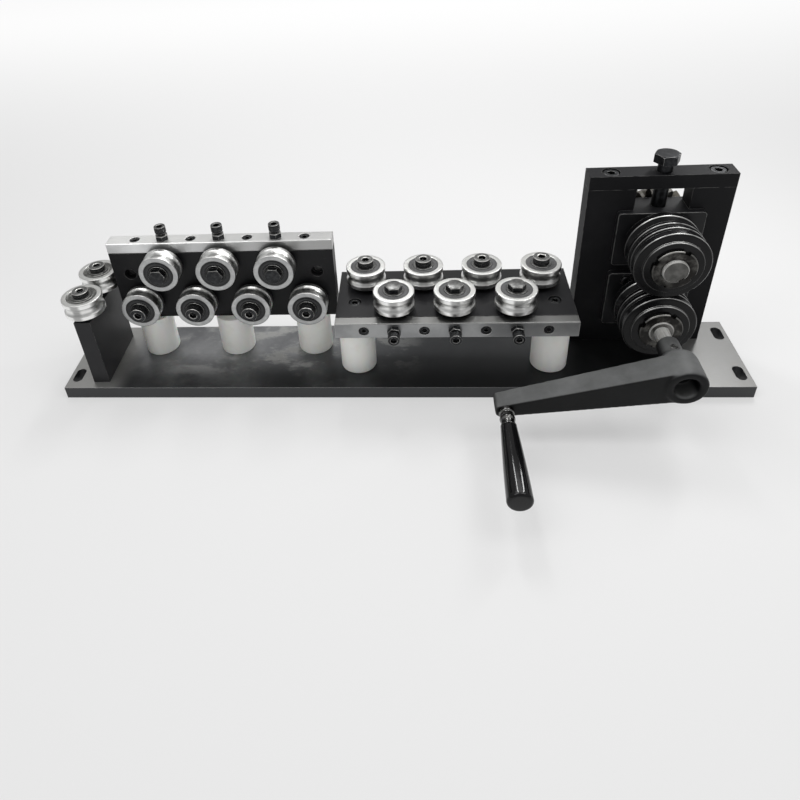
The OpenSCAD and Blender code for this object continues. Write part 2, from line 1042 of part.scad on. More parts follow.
module handle_grip() {
    n = 12;
    end_round = 2.6;
    color(black)
        at_crank()
            translate([-crank_len, grip_y, 0])
                rotate([90, 0, 0])
                    difference() {
                        rotate_extrude()
                            polygon(concat([[0, 0], [neck_r - 0.6, 0]],
                                [for (i = [0:n])
                                    let (y = 0.6 + i / n * (grip_len - end_round - 0.6))
                                    [grip_at(y / grip_len), y]],
                                [for (a = [30:30:90])
                                    [grip_r - end_round * (1 - cos(a)),
                                     grip_len - end_round * (1 - sin(a))]],
                                [[0, grip_len]]));
                        translate([0, 0, -1])
                            cylinder(r = pin_r + play, h = grip_len - 8);
                    }
}

module pressure_screw() {
    lo = up_z + upper_h / 2 + seam;
    hi = drive_top + cap_h + 8;
    color(oxide)
        translate([drive_x, drive_y + drive_t / 2, hi])
            hex_bolt(6, hi - lo, 18, 7.5);
}

base_plate();
nylon_posts();
cap_screws();
entry_post();
fixed_axles();
guide_roller_front();
guide_roller_back();
upright_plate();
upright_bar();
upright_fixed_roller(1);  // upright_fixed_roller_1
upright_fixed_roller(2);  // upright_fixed_roller_2
upright_fixed_roller(3);  // upright_fixed_roller_3
upright_fixed_roller(4);  // upright_fixed_roller_4
upright_press_roller(1);  // upright_press_roller_1
upright_press_roller(2);  // upright_press_roller_2
upright_press_roller(3);  // upright_press_roller_3
upright_carrier(1);  // upright_carrier_1
upright_carrier(2);  // upright_carrier_2
upright_carrier(3);  // upright_carrier_3
upright_axle(1);  // upright_axle_1
upright_axle(2);  // upright_axle_2
upright_axle(3);  // upright_axle_3
upright_screw(1);  // upright_screw_1
upright_screw(2);  // upright_screw_2
upright_screw(3);  // upright_screw_3
flat_plate();
flat_bar();
flat_fixed_roller(1);  // flat_fixed_roller_1
flat_fixed_roller(2);  // flat_fixed_roller_2
flat_fixed_roller(3);  // flat_fixed_roller_3
flat_fixed_roller(4);  // flat_fixed_roller_4
flat_press_roller(1);  // flat_press_roller_1
flat_press_roller(2);  // flat_press_roller_2
flat_press_roller(3);  // flat_press_roller_3
flat_carrier(1);  // flat_carrier_1
flat_carrier(2);  // flat_carrier_2
flat_carrier(3);  // flat_carrier_3
flat_axle(1);  // flat_axle_1
flat_axle(2);  // flat_axle_2
flat_axle(3);  // flat_axle_3
flat_screw(1);  // flat_screw_1
flat_screw(2);  // flat_screw_2
flat_screw(3);  // flat_screw_3
lock_nuts();
drive_plate();
drive_cap();
lower_housing();
upper_housing();
lower_shaft();
upper_shaft();
lower_roll();
upper_roll();
lower_nut();
upper_nut();
lower_gear();
upper_gear();
crank_arm();
crank_pins();
handle_grip();
pressure_screw();
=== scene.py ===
# %% [markdown]
# A hand cranked wire straightener, dressed for its picture. The exact solids come from a packed
# frame and stay where they are. This lesson gives each of them its finish, and replaces the
# turned and cast pieces by finer surfaces with rounded edges, knurls, threads and seals.

import bmesh
import bpy
import numpy as np
from mathutils import Matrix, Vector


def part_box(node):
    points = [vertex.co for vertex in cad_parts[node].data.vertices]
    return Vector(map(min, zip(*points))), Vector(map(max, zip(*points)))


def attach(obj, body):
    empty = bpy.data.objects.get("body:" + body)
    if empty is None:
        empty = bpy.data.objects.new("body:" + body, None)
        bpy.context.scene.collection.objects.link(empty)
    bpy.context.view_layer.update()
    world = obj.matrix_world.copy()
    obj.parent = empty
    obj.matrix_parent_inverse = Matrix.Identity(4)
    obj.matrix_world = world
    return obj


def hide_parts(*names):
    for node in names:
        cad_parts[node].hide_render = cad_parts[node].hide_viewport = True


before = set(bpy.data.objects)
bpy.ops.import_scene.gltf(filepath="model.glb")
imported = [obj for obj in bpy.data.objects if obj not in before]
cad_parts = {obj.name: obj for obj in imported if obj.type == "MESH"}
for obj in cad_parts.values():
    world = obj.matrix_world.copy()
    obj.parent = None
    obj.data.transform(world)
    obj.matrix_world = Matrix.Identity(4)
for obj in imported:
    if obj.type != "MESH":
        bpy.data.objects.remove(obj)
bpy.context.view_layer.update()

MM = 0.001
scene = bpy.context.scene

# %% [markdown]
# Shader arithmetic reads best as arithmetic. `Signal` wraps one output socket and turns + - * /
# into Math nodes, also when the plain number stands on the left, as in `1 - mask`. `Finish` is one
# material: its `node` method is the only place where other nodes are made, always in the same
# order: type, settings, then socket values or links.

# %% A small language for materials
BEVEL_SAMPLES = 6


class Signal:
    """A value or colour on its way through a material."""

    def __init__(self, finish, socket):
        self.finish, self.socket = finish, socket

    def math(self, operation, *values, clamp=False):
        settings = {"operation": operation, "use_clamp": clamp}
        return self.finish.node("ShaderNodeMath", settings, *values)

    def __add__(self, other):
        return self.math("ADD", self, other)

    def __sub__(self, other):
        return self.math("SUBTRACT", self, other)

    def __rsub__(self, other):
        return self.math("SUBTRACT", other, self)

    def __mul__(self, other):
        return self.math("MULTIPLY", self, other)

    def __truediv__(self, other):
        return self.math("DIVIDE", self, other)

    def __rtruediv__(self, other):
        return self.math("DIVIDE", other, self)

    def __pow__(self, other):
        return self.math("POWER", self, other)

    __radd__ = __add__
    __rmul__ = __mul__

    def held(self):
        """The same value kept between 0 and 1."""
        return self.math("ADD", self, 0.0, clamp=True)

    def ramp(self, low, high):
        """0 below `low`, 1 above `high`, smooth between: t^2 (3 - 2t)."""
        settings = {"interpolation_type": "SMOOTHSTEP"}
        return self.finish.node("ShaderNodeMapRange", settings, self, low, high, 0.0, 1.0)


class Finish:
    """One material. Constants go straight onto the shader's sockets."""

    def __init__(self, name, IOR=1.5, **constants):
        self.material = bpy.data.materials.new(name)
        self.material.use_nodes = True
        self.tree = self.material.node_tree
        self.shader = self.tree.nodes["Principled BSDF"]
        self.set(IOR=IOR, **constants)

    def plug(self, socket, value):
        """Puts a number, a colour or a link on a socket."""
        if isinstance(value, Signal):
            self.tree.links.new(value.socket, socket)
        elif socket.type == "RGBA":
            socket.default_value = (*value, 1.0)
        else:
            socket.default_value = value

    def find(self, sockets, key):
        """A socket by its identifier or name, with _ for a space."""
        names = (key, key.replace("_", " "))
        return next(s for s in sockets if s.identifier == key or s.name in names)

    def node(self, kind, settings=None, *values, out=0, **named):
        """Adds a node and returns its output `out` as a Signal."""
        made = self.tree.nodes.new(kind)
        for key, value in (settings or {}).items():
            setattr(made, key, value)
        for socket, value in zip(made.inputs, values):
            self.plug(socket, value)
        for key, value in named.items():
            self.plug(self.find(made.inputs, key), value)
        found = made.outputs[out] if isinstance(out, int) else self.find(made.outputs, out)
        return Signal(self, found)

    def set(self, **sockets):
        """Numbers, colours or signals onto the shader's sockets, by name."""
        for key, value in sockets.items():
            self.plug(self.find(self.shader.inputs, key), value)

    def place(self, stretch=(1, 1, 1)):
        """Object coordinates in metres, stretched per axis."""
        here = self.node("ShaderNodeTexCoord", out="Object")
        return self.node("ShaderNodeMapping", None, Vector=here, Scale=stretch)

    def component(self, vector, axis):
        """One of X, Y, Z of a vector signal."""
        return self.node("ShaderNodeSeparateXYZ", None, vector, out=axis)

    def noise(self, scale, detail=3.0, rough=0.55, stretch=(1, 1, 1), at=None):
        """Fractal noise 0..1 of the place, or of another vector given as `at`."""
        at = at or self.place(stretch)
        return self.node("ShaderNodeTexNoise", None, Vector=at, Scale=scale, Detail=detail,
                         Roughness=rough, out="Fac")

    def mix(self, factor, first, second):
        """first (1 - factor) + second factor, as colours."""
        return self.node("ShaderNodeMix", {"data_type": "RGBA"}, Factor_Float=factor,
                         A_Color=first, B_Color=second, out="Result_Color")

    def rounded(self, radius):
        """The face's normal averaged over `radius` metres."""
        return self.node("ShaderNodeBevel", {"samples": BEVEL_SAMPLES}, radius)

    def edges(self, radius, gain):
        """(rounded normal, 0..1 mask of the edges): the rounded normal leaves the face's own
        normal only near an edge, so gain (1 - dot(both)) is the mask."""
        round_normal = self.rounded(radius)
        own = self.node("ShaderNodeNewGeometry", out="Normal")
        alike = self.node("ShaderNodeVectorMath", {"operation": "DOT_PRODUCT"},
                          round_normal, own, out="Value")
        return round_normal, ((1.0 - alike) * gain).held()

    def track(self, axis=None):
        """What `turned` leaves on its points: radius X, angle Y and height Z, in millimetres."""
        read = self.node("ShaderNodeAttribute", {"attribute_name": "lathe"}, out="Vector")
        return self.component(read, axis) if axis else read

    def lathe(self, frequency):
        """Fine rings round a turned piece: noise along its profile only."""
        only = self.node("ShaderNodeMapping", None, Vector=self.track(), Scale=(1, 0, 1))
        return self.noise(frequency, 2.0, 0.6, at=only)

    def facing(self):
        """1 where a turned face looks along its axis, 0 on its side."""
        return self.node("ShaderNodeAttribute", {"attribute_name": "facing"}, out="Fac")

    def rims(self):
        """1 on the eased corners between face and side, as 4 f (1 - f) of `facing`."""
        f = self.facing()
        return (f * (1.0 - f) * 4.0).ramp(0.35, 0.9)

    def own_normal(self, axis):
        """X, Y or Z of the normal in the piece's own frame."""
        return self.component(self.node("ShaderNodeTexCoord", out="Normal"), axis)

    def upward(self):
        """1 on faces that look up."""
        return self.own_normal("Z").ramp(0.25, 0.85)

    def bump(self, height, distance, normal, strength):
        """Normal tilted by a height signal, on top of `normal` or of the face's own (None)."""
        given = {} if normal is None else {"Normal": normal}
        return self.node("ShaderNodeBump", None, Strength=strength, Distance=distance,
                         Height=height, **given)


def tone(*display):
    """Linear colour of display values 0..255: ((v + 0.055) / 1.055)^2.4."""
    v = np.array(display, float) / 255
    return tuple(np.where(v > 0.04045, ((v + 0.055) / 1.055) ** 2.4, v / 12.92).tolist())


# %% [markdown]
# The plates are mild steel with a thin satin black coat. Handling rubs it grey along the edges,
# and this pale edge is partly a painted highlight; handling also leaves faint cloudy marks, so the
# colour is a mix of three layers: coat, haze and bare edge. The drive's housings are the same steel
# with more wear, and a stronger painted highlight, on their corners.

# %% Black plates
def black_coat(name, dark, hazy, rub_and_glint, rough, reach, gloss=0.25):
    """Coat between the display tones `dark` and `hazy`, with edges rubbed bare and lightened by the
    rub amount: partly wear, partly painted highlight.
    """
    f = Finish(name, Specular_IOR_Level=gloss)
    round_normal, edge = f.edges(reach, 5.0)
    cloud = f.noise(22, 5, 0.6)
    grain = f.noise(900, 3, 0.6)
    scratch = f.noise(60, 4, 0.7, stretch=(1, 9, 9)).ramp(0.66, 0.78)
    haze = cloud.ramp(0.45, 0.75) * 0.6
    coat = f.mix(haze, tone(dark, dark, dark + 2), tone(hazy, hazy, hazy + 2))
    rubbed = f.mix(scratch * 0.14, coat, tone(96, 96, 96))
    # Pale edges: partly wear, partly a painted highlight.
    bare_and_sheen = (edge * f.noise(160, 3).ramp(0.55 - rub_and_glint * 0.4, 0.6)).held()
    f.set(Base_Color=f.mix(bare_and_sheen * rub_and_glint, rubbed, tone(158, 158, 156)), Metallic=bare_and_sheen * 0.5)
    f.set(Roughness=rough + cloud * 0.14 + grain * 0.05)
    f.set(Normal=f.bump(grain, 0.00004, round_normal, 0.5))
    return f


COATS = {
    "black_plate": (19, 34, 0.5, 0.38, 0.0006),
    "black_drive": (20, 34, 0.5, 0.50, 0.0006, 0.14),
    "black_post": (32, 48, 0.5, 0.36, 0.0006),
    "black_housing": (20, 38, 0.9, 0.32, 0.0010),
}
print("coats:", ", ".join(COATS))

# %% [markdown]
# The base is a long ground plate that mirrors the room a little. Its top carries painted reflection:
# darker in the middle where the machine stands, paler behind it than in front, pale at both ends.
# Dust and dried oil lie round the spacers, and the edges are lightened, partly wear and partly a
# painted highlight. The zones are set in metres along and across the plate.

# %% Base plate
# Zones of painted reflection on the top: pale ends, a darker middle, a paler back than front.
LIT_ENDS, BLACKER, INNER = (0.243, 0.262), (-0.14, 0.04), (-0.034, -0.004)
DUST_AT, DUST_REACH = -0.12, 0.15


def base_steel():
    f = Finish("base_steel", Specular_IOR_Level=0.35)
    round_normal, edge = f.edges(0.0006, 5.0)
    top = f.upward()
    x = f.component(f.place(), "X")
    inner = f.component(f.place(), "Y").ramp(*INNER)
    brushed = f.noise(160, 3, 0.6, stretch=(1, 14, 14))
    cloud = f.noise(14, 5, 0.62)
    smear = f.noise(34, 7, 0.72, stretch=(0.7, 1.3, 1)).ramp(0.50, 0.62)
    fleck = f.noise(420, 3, 0.7).ramp(0.60, 0.72)
    # Painted reflection: both ends of the plate are pale, as if mirroring the bright room.
    bare_and_sheen = x.math("ABSOLUTE", x).ramp(*LIT_ENDS)
    heap = (1.0 - ((x - DUST_AT) / DUST_REACH) ** 2.0).held()
    dust_and_top_light = heap * smear * top * (inner * 0.9 + 0.1)
    sides = f.mix(cloud * 0.5, tone(48, 49, 51), tone(66, 67, 69))
    stained = cloud.ramp(0.35, 0.7)
    # Painted reflection: the top behind the machine is paler than the top in front of it.
    back = f.mix(stained, tone(108, 109, 111), tone(138, 139, 140))
    front = f.mix(stained, tone(72, 73, 74), tone(100, 101, 102))
    # Painted reflection: the middle is darker, as if mirroring the dark machine.
    blacker = x.ramp(*BLACKER) * 0.9
    reflected_dark_middle = f.mix(blacker, f.mix(inner, front, back), tone(46, 47, 48))
    ends = f.mix(x.ramp(-0.1, 0.1), tone(160, 160, 158), tone(134, 134, 133))
    dull = cloud.ramp(0.45, 0.75) * 0.5 + brushed.ramp(0.4, 0.65) * 0.12
    ends = f.mix(dull, ends, tone(124, 123, 120))
    plate = f.mix(top, sides, f.mix(bare_and_sheen, reflected_dark_middle, ends))
    powder = f.mix((dust_and_top_light * 0.5 + fleck * dust_and_top_light * 0.4).held(), plate, tone(166, 166, 162))
    # Lighter edges: partly wear, partly a painted highlight.
    f.set(Base_Color=f.mix(edge * 0.6, powder, tone(184, 184, 182)))
    f.set(Metallic=(top * 0.85) * (1.0 - dust_and_top_light * 0.8))
    f.set(Roughness=0.27 + bare_and_sheen * 0.1 + brushed * 0.10 + dust_and_top_light * 0.35)
    f.set(Normal=f.bump(brushed, 0.00003, round_normal, 0.35))
    return f


# %% [markdown]
# The two bars are bright ground flat stock. The grinding wheel leaves fine lines along the bar,
# and finger marks dull the shine a little. Top and front faces take their own tones as painted
# light, the edges a painted highlight, and the upright bar is painted paler at its left end and
# darker towards its right, as painted shade.

# %% Ground bars
FADE_ALONG, FADED = (-0.27, -0.05), 168


def ground_steel(name, front, top, fade=0.0):
    """`front` and `top` are display tones, lit and shaded copies of one steel as painted light;
    `fade` is how far the right end goes to `FADED`, a painted shade.
    """
    f = Finish(name, Metallic=1.0)
    round_normal, edge = f.edges(0.0007, 4.0)
    lines = f.noise(240, 3, 0.65, stretch=(0.5, 12, 12))
    cloud = f.noise(26, 4, 0.6)
    steel = f.mix(cloud.ramp(0.35, 0.7), tone(front - 13, front - 12, front - 11),
                  tone(front + 13, front + 14, front + 14))
    # Painted light: upward faces get a tone of their own, apart from the front faces.
    steel = f.mix(f.upward() * 0.85, steel, tone(top, top, top - 2))
    x = f.component(f.place(), "X")
    # Painted shade: darker towards the right end of the bar.
    steel = f.mix(x.ramp(*FADE_ALONG) * fade, steel, tone(FADED, FADED, FADED - 1))
    # Painted highlight along the edges.
    f.set(Base_Color=f.mix((edge * 0.8).held(), steel, tone(226, 226, 224)))
    f.set(Roughness=0.30 + cloud * 0.14 + lines * 0.06)
    f.set(Normal=f.bump(lines, 0.00003, round_normal, 0.4))
    return f


# Front and top display tones, and how far the painted shade along the bar reaches.
BARS = {"upright_ground": (240, 252, 0.95), "flat_ground": (150, 120)}

# %% [markdown]
# The roller rings are hardened, turned and polished. A polished cylinder shows the room as upright
# streaks, pale and dark by turns; here they are painted reflections in the colour, the groove is
# painted a little darker, and the sides and upward faces are painted paler. The faces are ground
# satin. So the colour follows three readings of the turned shape: its angle, its radius and its
# facing.

# %% Roller steel, seals and washers
RIM_R, STREAKS = 17.5, 6


def roller_steel():
    f = Finish("roller_steel", Metallic=1.0)
    facing, rings, wear = f.facing(), f.lathe(3.2), f.noise(220, 4, 0.6)
    ripple = f.noise(3.0, 2.0, 0.5, at=f.track()) - 0.5
    # Painted reflection: pale and dark streaks by the angle round the ring.
    turn = f.track("Y") * STREAKS + ripple * 1.2 + np.pi
    reflection_streak = (turn.math("COSINE", turn) * 0.5 + 0.5).ramp(0.35, 0.95)
    groove = 1.0 - f.track("X").ramp(RIM_R - 1.2, RIM_R - 0.05)
    side = 1.0 - facing
    pale = f.mix(wear.ramp(0.4, 0.7), tone(176, 177, 177), tone(194, 195, 194))
    # Painted light: upward faces paler, and the sides painted brighter as a reflection.
    pale = f.mix(f.upward() * 0.8, pale, tone(212, 212, 209))
    bright = f.mix(side * 0.95, pale, tone(254, 254, 252))
    # Painted reflection: the streaks and a slightly darker groove band on the side.
    dark = (side * (reflection_streak * 0.62 + groove * 0.1)).held()
    f.set(Base_Color=f.mix(dark, bright, tone(88, 88, 87)))
    f.set(Roughness=0.25 + facing * 0.08 + rings * 0.08 + wear * 0.05)
    f.set(Normal=f.bump(rings, 0.00002, None, 0.25))
    return f


def seal_rubber():
    f = Finish("seal_rubber", Specular_IOR_Level=0.4)
    rings = f.lathe(2.4)
    dust = f.noise(500, 3, 0.6).ramp(0.5, 0.75)
    rubber = f.mix(rings.ramp(0.35, 0.65), tone(26, 27, 28), tone(46, 47, 48))
    # Besides real dust, this pale mix is painted light: paler upward faces and a painted highlight on
    # the rims.
    pale = (dust * 0.2 + f.rims() * 0.25 + f.upward() * 0.5).held()
    f.set(Base_Color=f.mix(pale, rubber, tone(96, 96, 96)))
    f.set(Roughness=0.42 + dust * 0.2, Normal=f.bump(rings, 0.00008, None, 0.6))
    return f


def shield_steel():
    f = Finish("shield_steel", Metallic=1.0)
    rings = f.lathe(2.2)
    stain = f.noise(260, 4, 0.6)
    steel = f.mix(stain.ramp(0.4, 0.65), tone(96, 96, 94), tone(132, 132, 129))
    # Painted highlight on the eased rims.
    f.set(Base_Color=f.mix(f.rims() * 0.7, steel, tone(196, 196, 194)))
    f.set(Roughness=0.30 + stain * 0.14, Normal=f.bump(rings, 0.00005, None, 0.5))
    return f


def washer_steel():
    f = Finish("washer_steel", Metallic=1.0)
    stain = f.noise(260, 4, 0.6)
    steel = f.mix(stain.ramp(0.4, 0.65), tone(44, 44, 44), tone(66, 66, 65))
    # Painted light: upward faces paler.
    steel = f.mix(f.upward() * 0.5, steel, tone(150, 150, 148))
    # Painted highlight on the eased rims.
    f.set(Base_Color=f.mix(f.rims() * 0.8, steel, tone(226, 226, 223)))
    f.set(Roughness=0.26 + stain * 0.14, Normal=f.bump(f.lathe(2.2), 0.00005, None, 0.5))
    return f


# %% [markdown]
# Screws are black oxide steel. The oxide is a thin conversion layer, so it shines like metal but
# dark. Keys and spanners wear the end faces a little grey and the corners bright; end faces that
# look up are painted paler still as painted light, and the bright corners are partly a painted
# highlight. The knurled sides stay black.

# %% Fasteners
def oxide_steel(name, rubbed, painted_top_light):
    """Oxide whose corners are bare and lightened by `rubbed`, partly wear and partly painted
    highlight; the second amount paints upward end faces grey, as painted light.
    """
    f = Finish(name)
    round_normal, edge = f.edges(0.0004, 6.0)
    facing, mottle = f.facing(), f.noise(300, 4, 0.6)
    # Pale corners: partly wear, partly a painted highlight.
    rub_and_glint = ((edge + f.rims()) * f.noise(420, 2).ramp(0.15, 0.45)).held()
    oxide = f.mix(mottle.ramp(0.4, 0.7), tone(36, 37, 39), tone(56, 57, 59))
    worn_and_lit = f.mix(mottle.ramp(0.35, 0.65), tone(112, 112, 111), tone(140, 140, 138))
    # Painted light: end faces that look up are painted grey, and the others keep only a trace of
    # wear.
    skin = f.mix(facing * (f.upward() * painted_top_light + 0.06), oxide, worn_and_lit)
    f.set(Base_Color=f.mix(rub_and_glint * rubbed, skin, tone(214, 213, 210)), Metallic=0.9)
    f.set(Roughness=0.26 + mottle * 0.2, Normal=f.bump(mottle, 0.00003, round_normal, 0.4))
    return f


# Per finish: corner lightening, then the painted light on upward end faces.
OXIDES = {"black_oxide": (0.85, 0.7), "oily_oxide": (0.35, 0.3)}

# %% [markdown]
# The feed rolls are hardened and blackened, with a wet shine. Only their turned edges catch the
# light, and their pale arcs on the upper rims are a painted highlight. The round nuts that hold
# them have lost some of their black to the spanner; their upper rims carry a painted highlight.

# %% Feed rolls, nuts, shafts and gears
ROLL_R, STEP_R = 30.0, 23.5


def feed_roll():
    f = Finish("feed_roll", Specular_IOR_Level=0.18)
    rings, radius = f.lathe(1.8), f.track("X")
    smudge = f.noise(60, 3, 0.5)
    lands = radius.ramp(ROLL_R - 0.7, ROLL_R - 0.2)
    step = radius.ramp(STEP_R - 1.0, STEP_R - 0.5) * (1.0 - radius.ramp(STEP_R, STEP_R + 0.5))
    black = f.mix(smudge.ramp(0.42, 0.72), tone(13, 13, 14), tone(23, 23, 24))
    patchy = f.noise(70, 2).ramp(0.25, 0.5)
    # Painted highlight: pale arcs on the rims of the lands and the step, mostly where they look up.
    rub_and_glint = f.rims() * (lands + step) * patchy * (f.upward() * 0.9 + 0.1)
    f.set(Base_Color=f.mix((rub_and_glint * 0.9).held(), black, tone(206, 206, 204)), Metallic=rub_and_glint * 0.7)
    f.set(Roughness=0.18 + smudge * 0.12, Normal=f.bump(rings, 0.00003, None, 0.2))
    return f


def worn_nut():
    f = Finish("worn_nut", Metallic=1.0)
    rings = f.lathe(2.4)
    patch = f.noise(110, 5, 0.6)
    colour = f.mix(patch.ramp(0.45, 0.7), tone(40, 39, 38), tone(92, 91, 88))
    # Painted highlight on the rims, stronger where they look up; the patches are real wear.
    f.set(Base_Color=f.mix(f.rims() * (f.upward() * 0.6 + 0.15), colour, tone(176, 175, 171)))
    f.set(Roughness=0.26 + patch * 0.2, Normal=f.bump(rings, 0.00003, None, 0.4))
    return f


def bright_shaft():
    f = Finish("bright_shaft")
    round_normal, edge = f.edges(0.0005, 4.0)
    along = f.own_normal("Y")
    end = along.math("ABSOLUTE", along).ramp(0.6, 0.9)
    # Painted reflection: pale streaks along the shaft's length.
    lengthwise_sheen = f.noise(700, 2, 0.6, stretch=(1, 0.04, 1)) * (1.0 - end)
    stain = f.noise(70, 4, 0.6)
    steel = f.mix(stain.ramp(0.4, 0.7), tone(190, 189, 185), tone(216, 215, 212))
    steel = f.mix(lengthwise_sheen.ramp(0.45, 0.65) * 0.7, steel, tone(244, 244, 242))
    # Painted light: the end faces take darker tones than the bright side.
    steel = f.mix(end, steel, f.mix(stain.ramp(0.4, 0.7), tone(74, 74, 72), tone(104, 103, 101)))
    # Painted highlight along the edges.
    f.set(Base_Color=f.mix(edge * 0.6, steel, tone(214, 213, 210)))
    f.set(Roughness=0.2 + lengthwise_sheen * 0.14 + (1.0 - end) * 0.1, Metallic=end * 0.5 + 0.5)
    f.set(Normal=f.bump(lengthwise_sheen, 0.00003, round_normal, 0.4))
    return f


def polished_pin():
    f = Finish("polished_pin", Metallic=1.0)
    rings = f.lathe(1.3)
    steel = f.mix(rings.ramp(0.42, 0.66), tone(30, 30, 30), tone(92, 92, 91))
    # Painted highlight on the eased rims.
    f.set(Base_Color=f.mix(f.rims() * 0.35, steel, tone(180, 180, 178)))
    f.set(Roughness=0.14 + f.noise(300, 3) * 0.12)
    return f


def gear_steel():
    f = Finish("gear_steel", Metallic=1.0)
    round_normal = f.rounded(0.0005)
    oil = f.noise(60, 5, 0.6)
    f.set(Base_Color=f.mix(oil.ramp(0.38, 0.66), tone(104, 100, 92), tone(146, 145, 141)))
    f.set(Roughness=0.24 + oil * 0.22, Normal=f.bump(oil, 0.00006, round_normal, 0.4))
    return f


# %% [markdown]
# The round spacers are cut from off-white nylon rod. The saw and the lathe leave faint rings, and
# the plastic takes up a little grease near the plates. The crank is a sand casting under thin
# paint; its upward faces are paler, partly dust and partly painted top light, and its sharp edges
# carry a painted highlight. The grip is a glossy black moulding.

# %% Nylon, cast iron and handle plastic
def white_nylon():
    f = Finish("white_nylon", IOR=1.53, Subsurface_Weight=0.15, Subsurface_Scale=0.004)
    rings = f.lathe(0.9)
    grease = f.noise(80, 5, 0.6)
    colour = f.mix(grease.ramp(0.5, 0.8) * 0.35, tone(252, 252, 247), tone(226, 225, 216))
    f.set(Base_Color=colour, Roughness=0.38 + grease * 0.18)
    f.set(Normal=f.bump(rings, 0.0001, None, 0.5))
    return f


def cast_crank():
    f = Finish("cast_crank", Specular_IOR_Level=0.18)
    sand = f.noise(620, 4, 0.62)
    swell = f.noise(90, 4, 0.6)
    worn_and_lit = f.noise(34, 4, 0.6)
    # Painted highlight on the sharper convex edges.
    sharp = f.node("ShaderNodeNewGeometry", out="Pointiness").ramp(0.51, 0.56)
    paint = f.mix(worn_and_lit.ramp(0.4, 0.7), tone(7, 8, 9), tone(14, 15, 16))
    # Upward faces paler: partly dust, partly painted top light.
    dust_and_top_light = f.mix((f.upward() * (worn_and_lit * 1.3 + 0.15)).held(), paint, tone(88, 89, 89))
    f.set(Base_Color=f.mix(sharp * 0.35, dust_and_top_light, tone(124, 124, 123)))
    f.set(Roughness=0.44 + sand * 0.14, Normal=f.bump(sand * 0.6 + swell, 0.00018, None, 0.5))
    return f


def grip_plastic():
    f = Finish("grip_plastic", Specular_IOR_Level=0.3)
    hand = f.noise(45, 5, 0.6)
    f.set(Base_Color=f.mix(hand.ramp(0.5, 0.8), tone(10, 10, 11), tone(20, 20, 21)))
    f.set(Roughness=0.07 + hand * 0.08, Normal=f.bump(f.lathe(0.25), 0.00008, None, 0.2))
    return f


FINISHES = {make.__name__: make().material for make in (
    base_steel, roller_steel, seal_rubber, shield_steel, washer_steel, feed_roll, worn_nut,
    bright_shaft, polished_pin, gear_steel, white_nylon, cast_crank, grip_plastic)}
for make, table in ((black_coat, COATS), (ground_steel, BARS), (oxide_steel, OXIDES)):
    FINISHES |= {name: make(name, *row).material for name, row in table.items()}
print("finishes:", ", ".join(FINISHES))

# %% [markdown]
# Nearly every moving piece of this machine is turned, so one function makes them all: a profile
# (radius, height) runs round the Z axis. The same grid gives hexagons, knurls and slots, because
# the radius of each profile point may also depend on the angle.

# %% Turned surfaces
CREASE, WELD = 35, 1e-7


def soften(corners, reach, steps=4, closed=False):
    """A polyline with eased corners. Each corner C becomes the parabola
    (1-t)^2 A + 2t(1-t) C + t^2 B, with A and B `reach` away from C, at most 0.45 of a side."""
    p = np.asarray(corners, float)
    to_a, to_b = np.roll(p, 1, 0) - p, np.roll(p, -1, 0) - p
    side_a = np.linalg.norm(to_a, axis=1, keepdims=True)
    side_b = np.linalg.norm(to_b, axis=1, keepdims=True)
    reach = np.broadcast_to(np.asarray(reach, float).reshape(-1, 1), (len(p), 1))
    a = p + to_a * np.minimum(reach / side_a, 0.45)
    b = p + to_b * np.minimum(reach / side_b, 0.45)
    t = np.linspace(0, 1, steps + 1)[None, :, None]
    eased = (1 - t) ** 2 * a[:, None] + 2 * t * (1 - t) * p[:, None] + t ** 2 * b[:, None]
    if closed:
        return np.vstack([eased.reshape(-1, 2), eased[0, :1]])
    return np.vstack([p[:1], eased[1:-1].reshape(-1, 2), p[-1:]])


def turned(profile, steps=96, shape=None):
    """Points (r cos a, r sin a, z) for a profile (r, z) and a once round, and their quads.
    `shape(r, a, z)` may return another radius. Going up on the outside faces outwards. The
    track keeps r, a, z and `facing` = |dr| / |(dr, dz)| along the profile."""
    r, z = np.asarray(profile, float).T
    a = np.arange(steps) * (2 * np.pi / steps)
    rr, aa = np.meshgrid(r, a, indexing="ij")
    zz = np.repeat(z[:, None], steps, 1)
    rr = rr if shape is None else shape(rr, aa, zz)
    points = np.stack([rr * np.cos(aa), rr * np.sin(aa), zz], -1).reshape(-1, 3)
    row = np.arange(len(r) - 1)[:, None] * steps
    here, after = np.arange(steps)[None], (np.arange(steps)[None] + 1) % steps
    faces = np.stack([row + here, row + after, row + steps + after, row + steps + here], -1)
    outline = np.stack([r, z], -1)
    along = np.gradient(outline, axis=0)
    if np.allclose(outline[0], outline[-1]):
        along[0] = along[-1] = outline[1] - outline[-2]
    facing = np.abs(along[:, 0]) / np.maximum(np.linalg.norm(along, axis=1), 1e-9)
    track = np.stack([rr, aa, zz, np.repeat(facing[:, None], steps, 1)], -1).reshape(-1, 4)
    return points, faces.reshape(-1, 4), track


def six_sided(flats):
    """Radius of a hexagon: half its flats / cos of the angle from the nearest flat."""
    def radius(a):
        return flats / 2 / np.cos((a + np.pi / 6) % (np.pi / 3) - np.pi / 6)
    return radius


def aimed(shell, origin, axis=(0, 0, 1), turn=0.0):
    """Carries a shell drawn in millimetres round +Z to `origin` (metres), +Z along `axis`.
    A point is origin + x side + y up + z axis, with side and up turned by `turn`."""
    points, faces, track = shell
    axis = np.asarray(axis, float)
    side = np.cross((0, 1, 0), axis) if abs(axis[1]) < 0.9 else np.array((1.0, 0, 0))
    side = side / np.linalg.norm(side)
    up = np.cross(axis, side)
    c, s = np.cos(turn), np.sin(turn)
    basis = np.stack([c * side + s * up, c * up - s * side, axis])
    return np.asarray(origin, float) + points * MM @ basis, faces, track


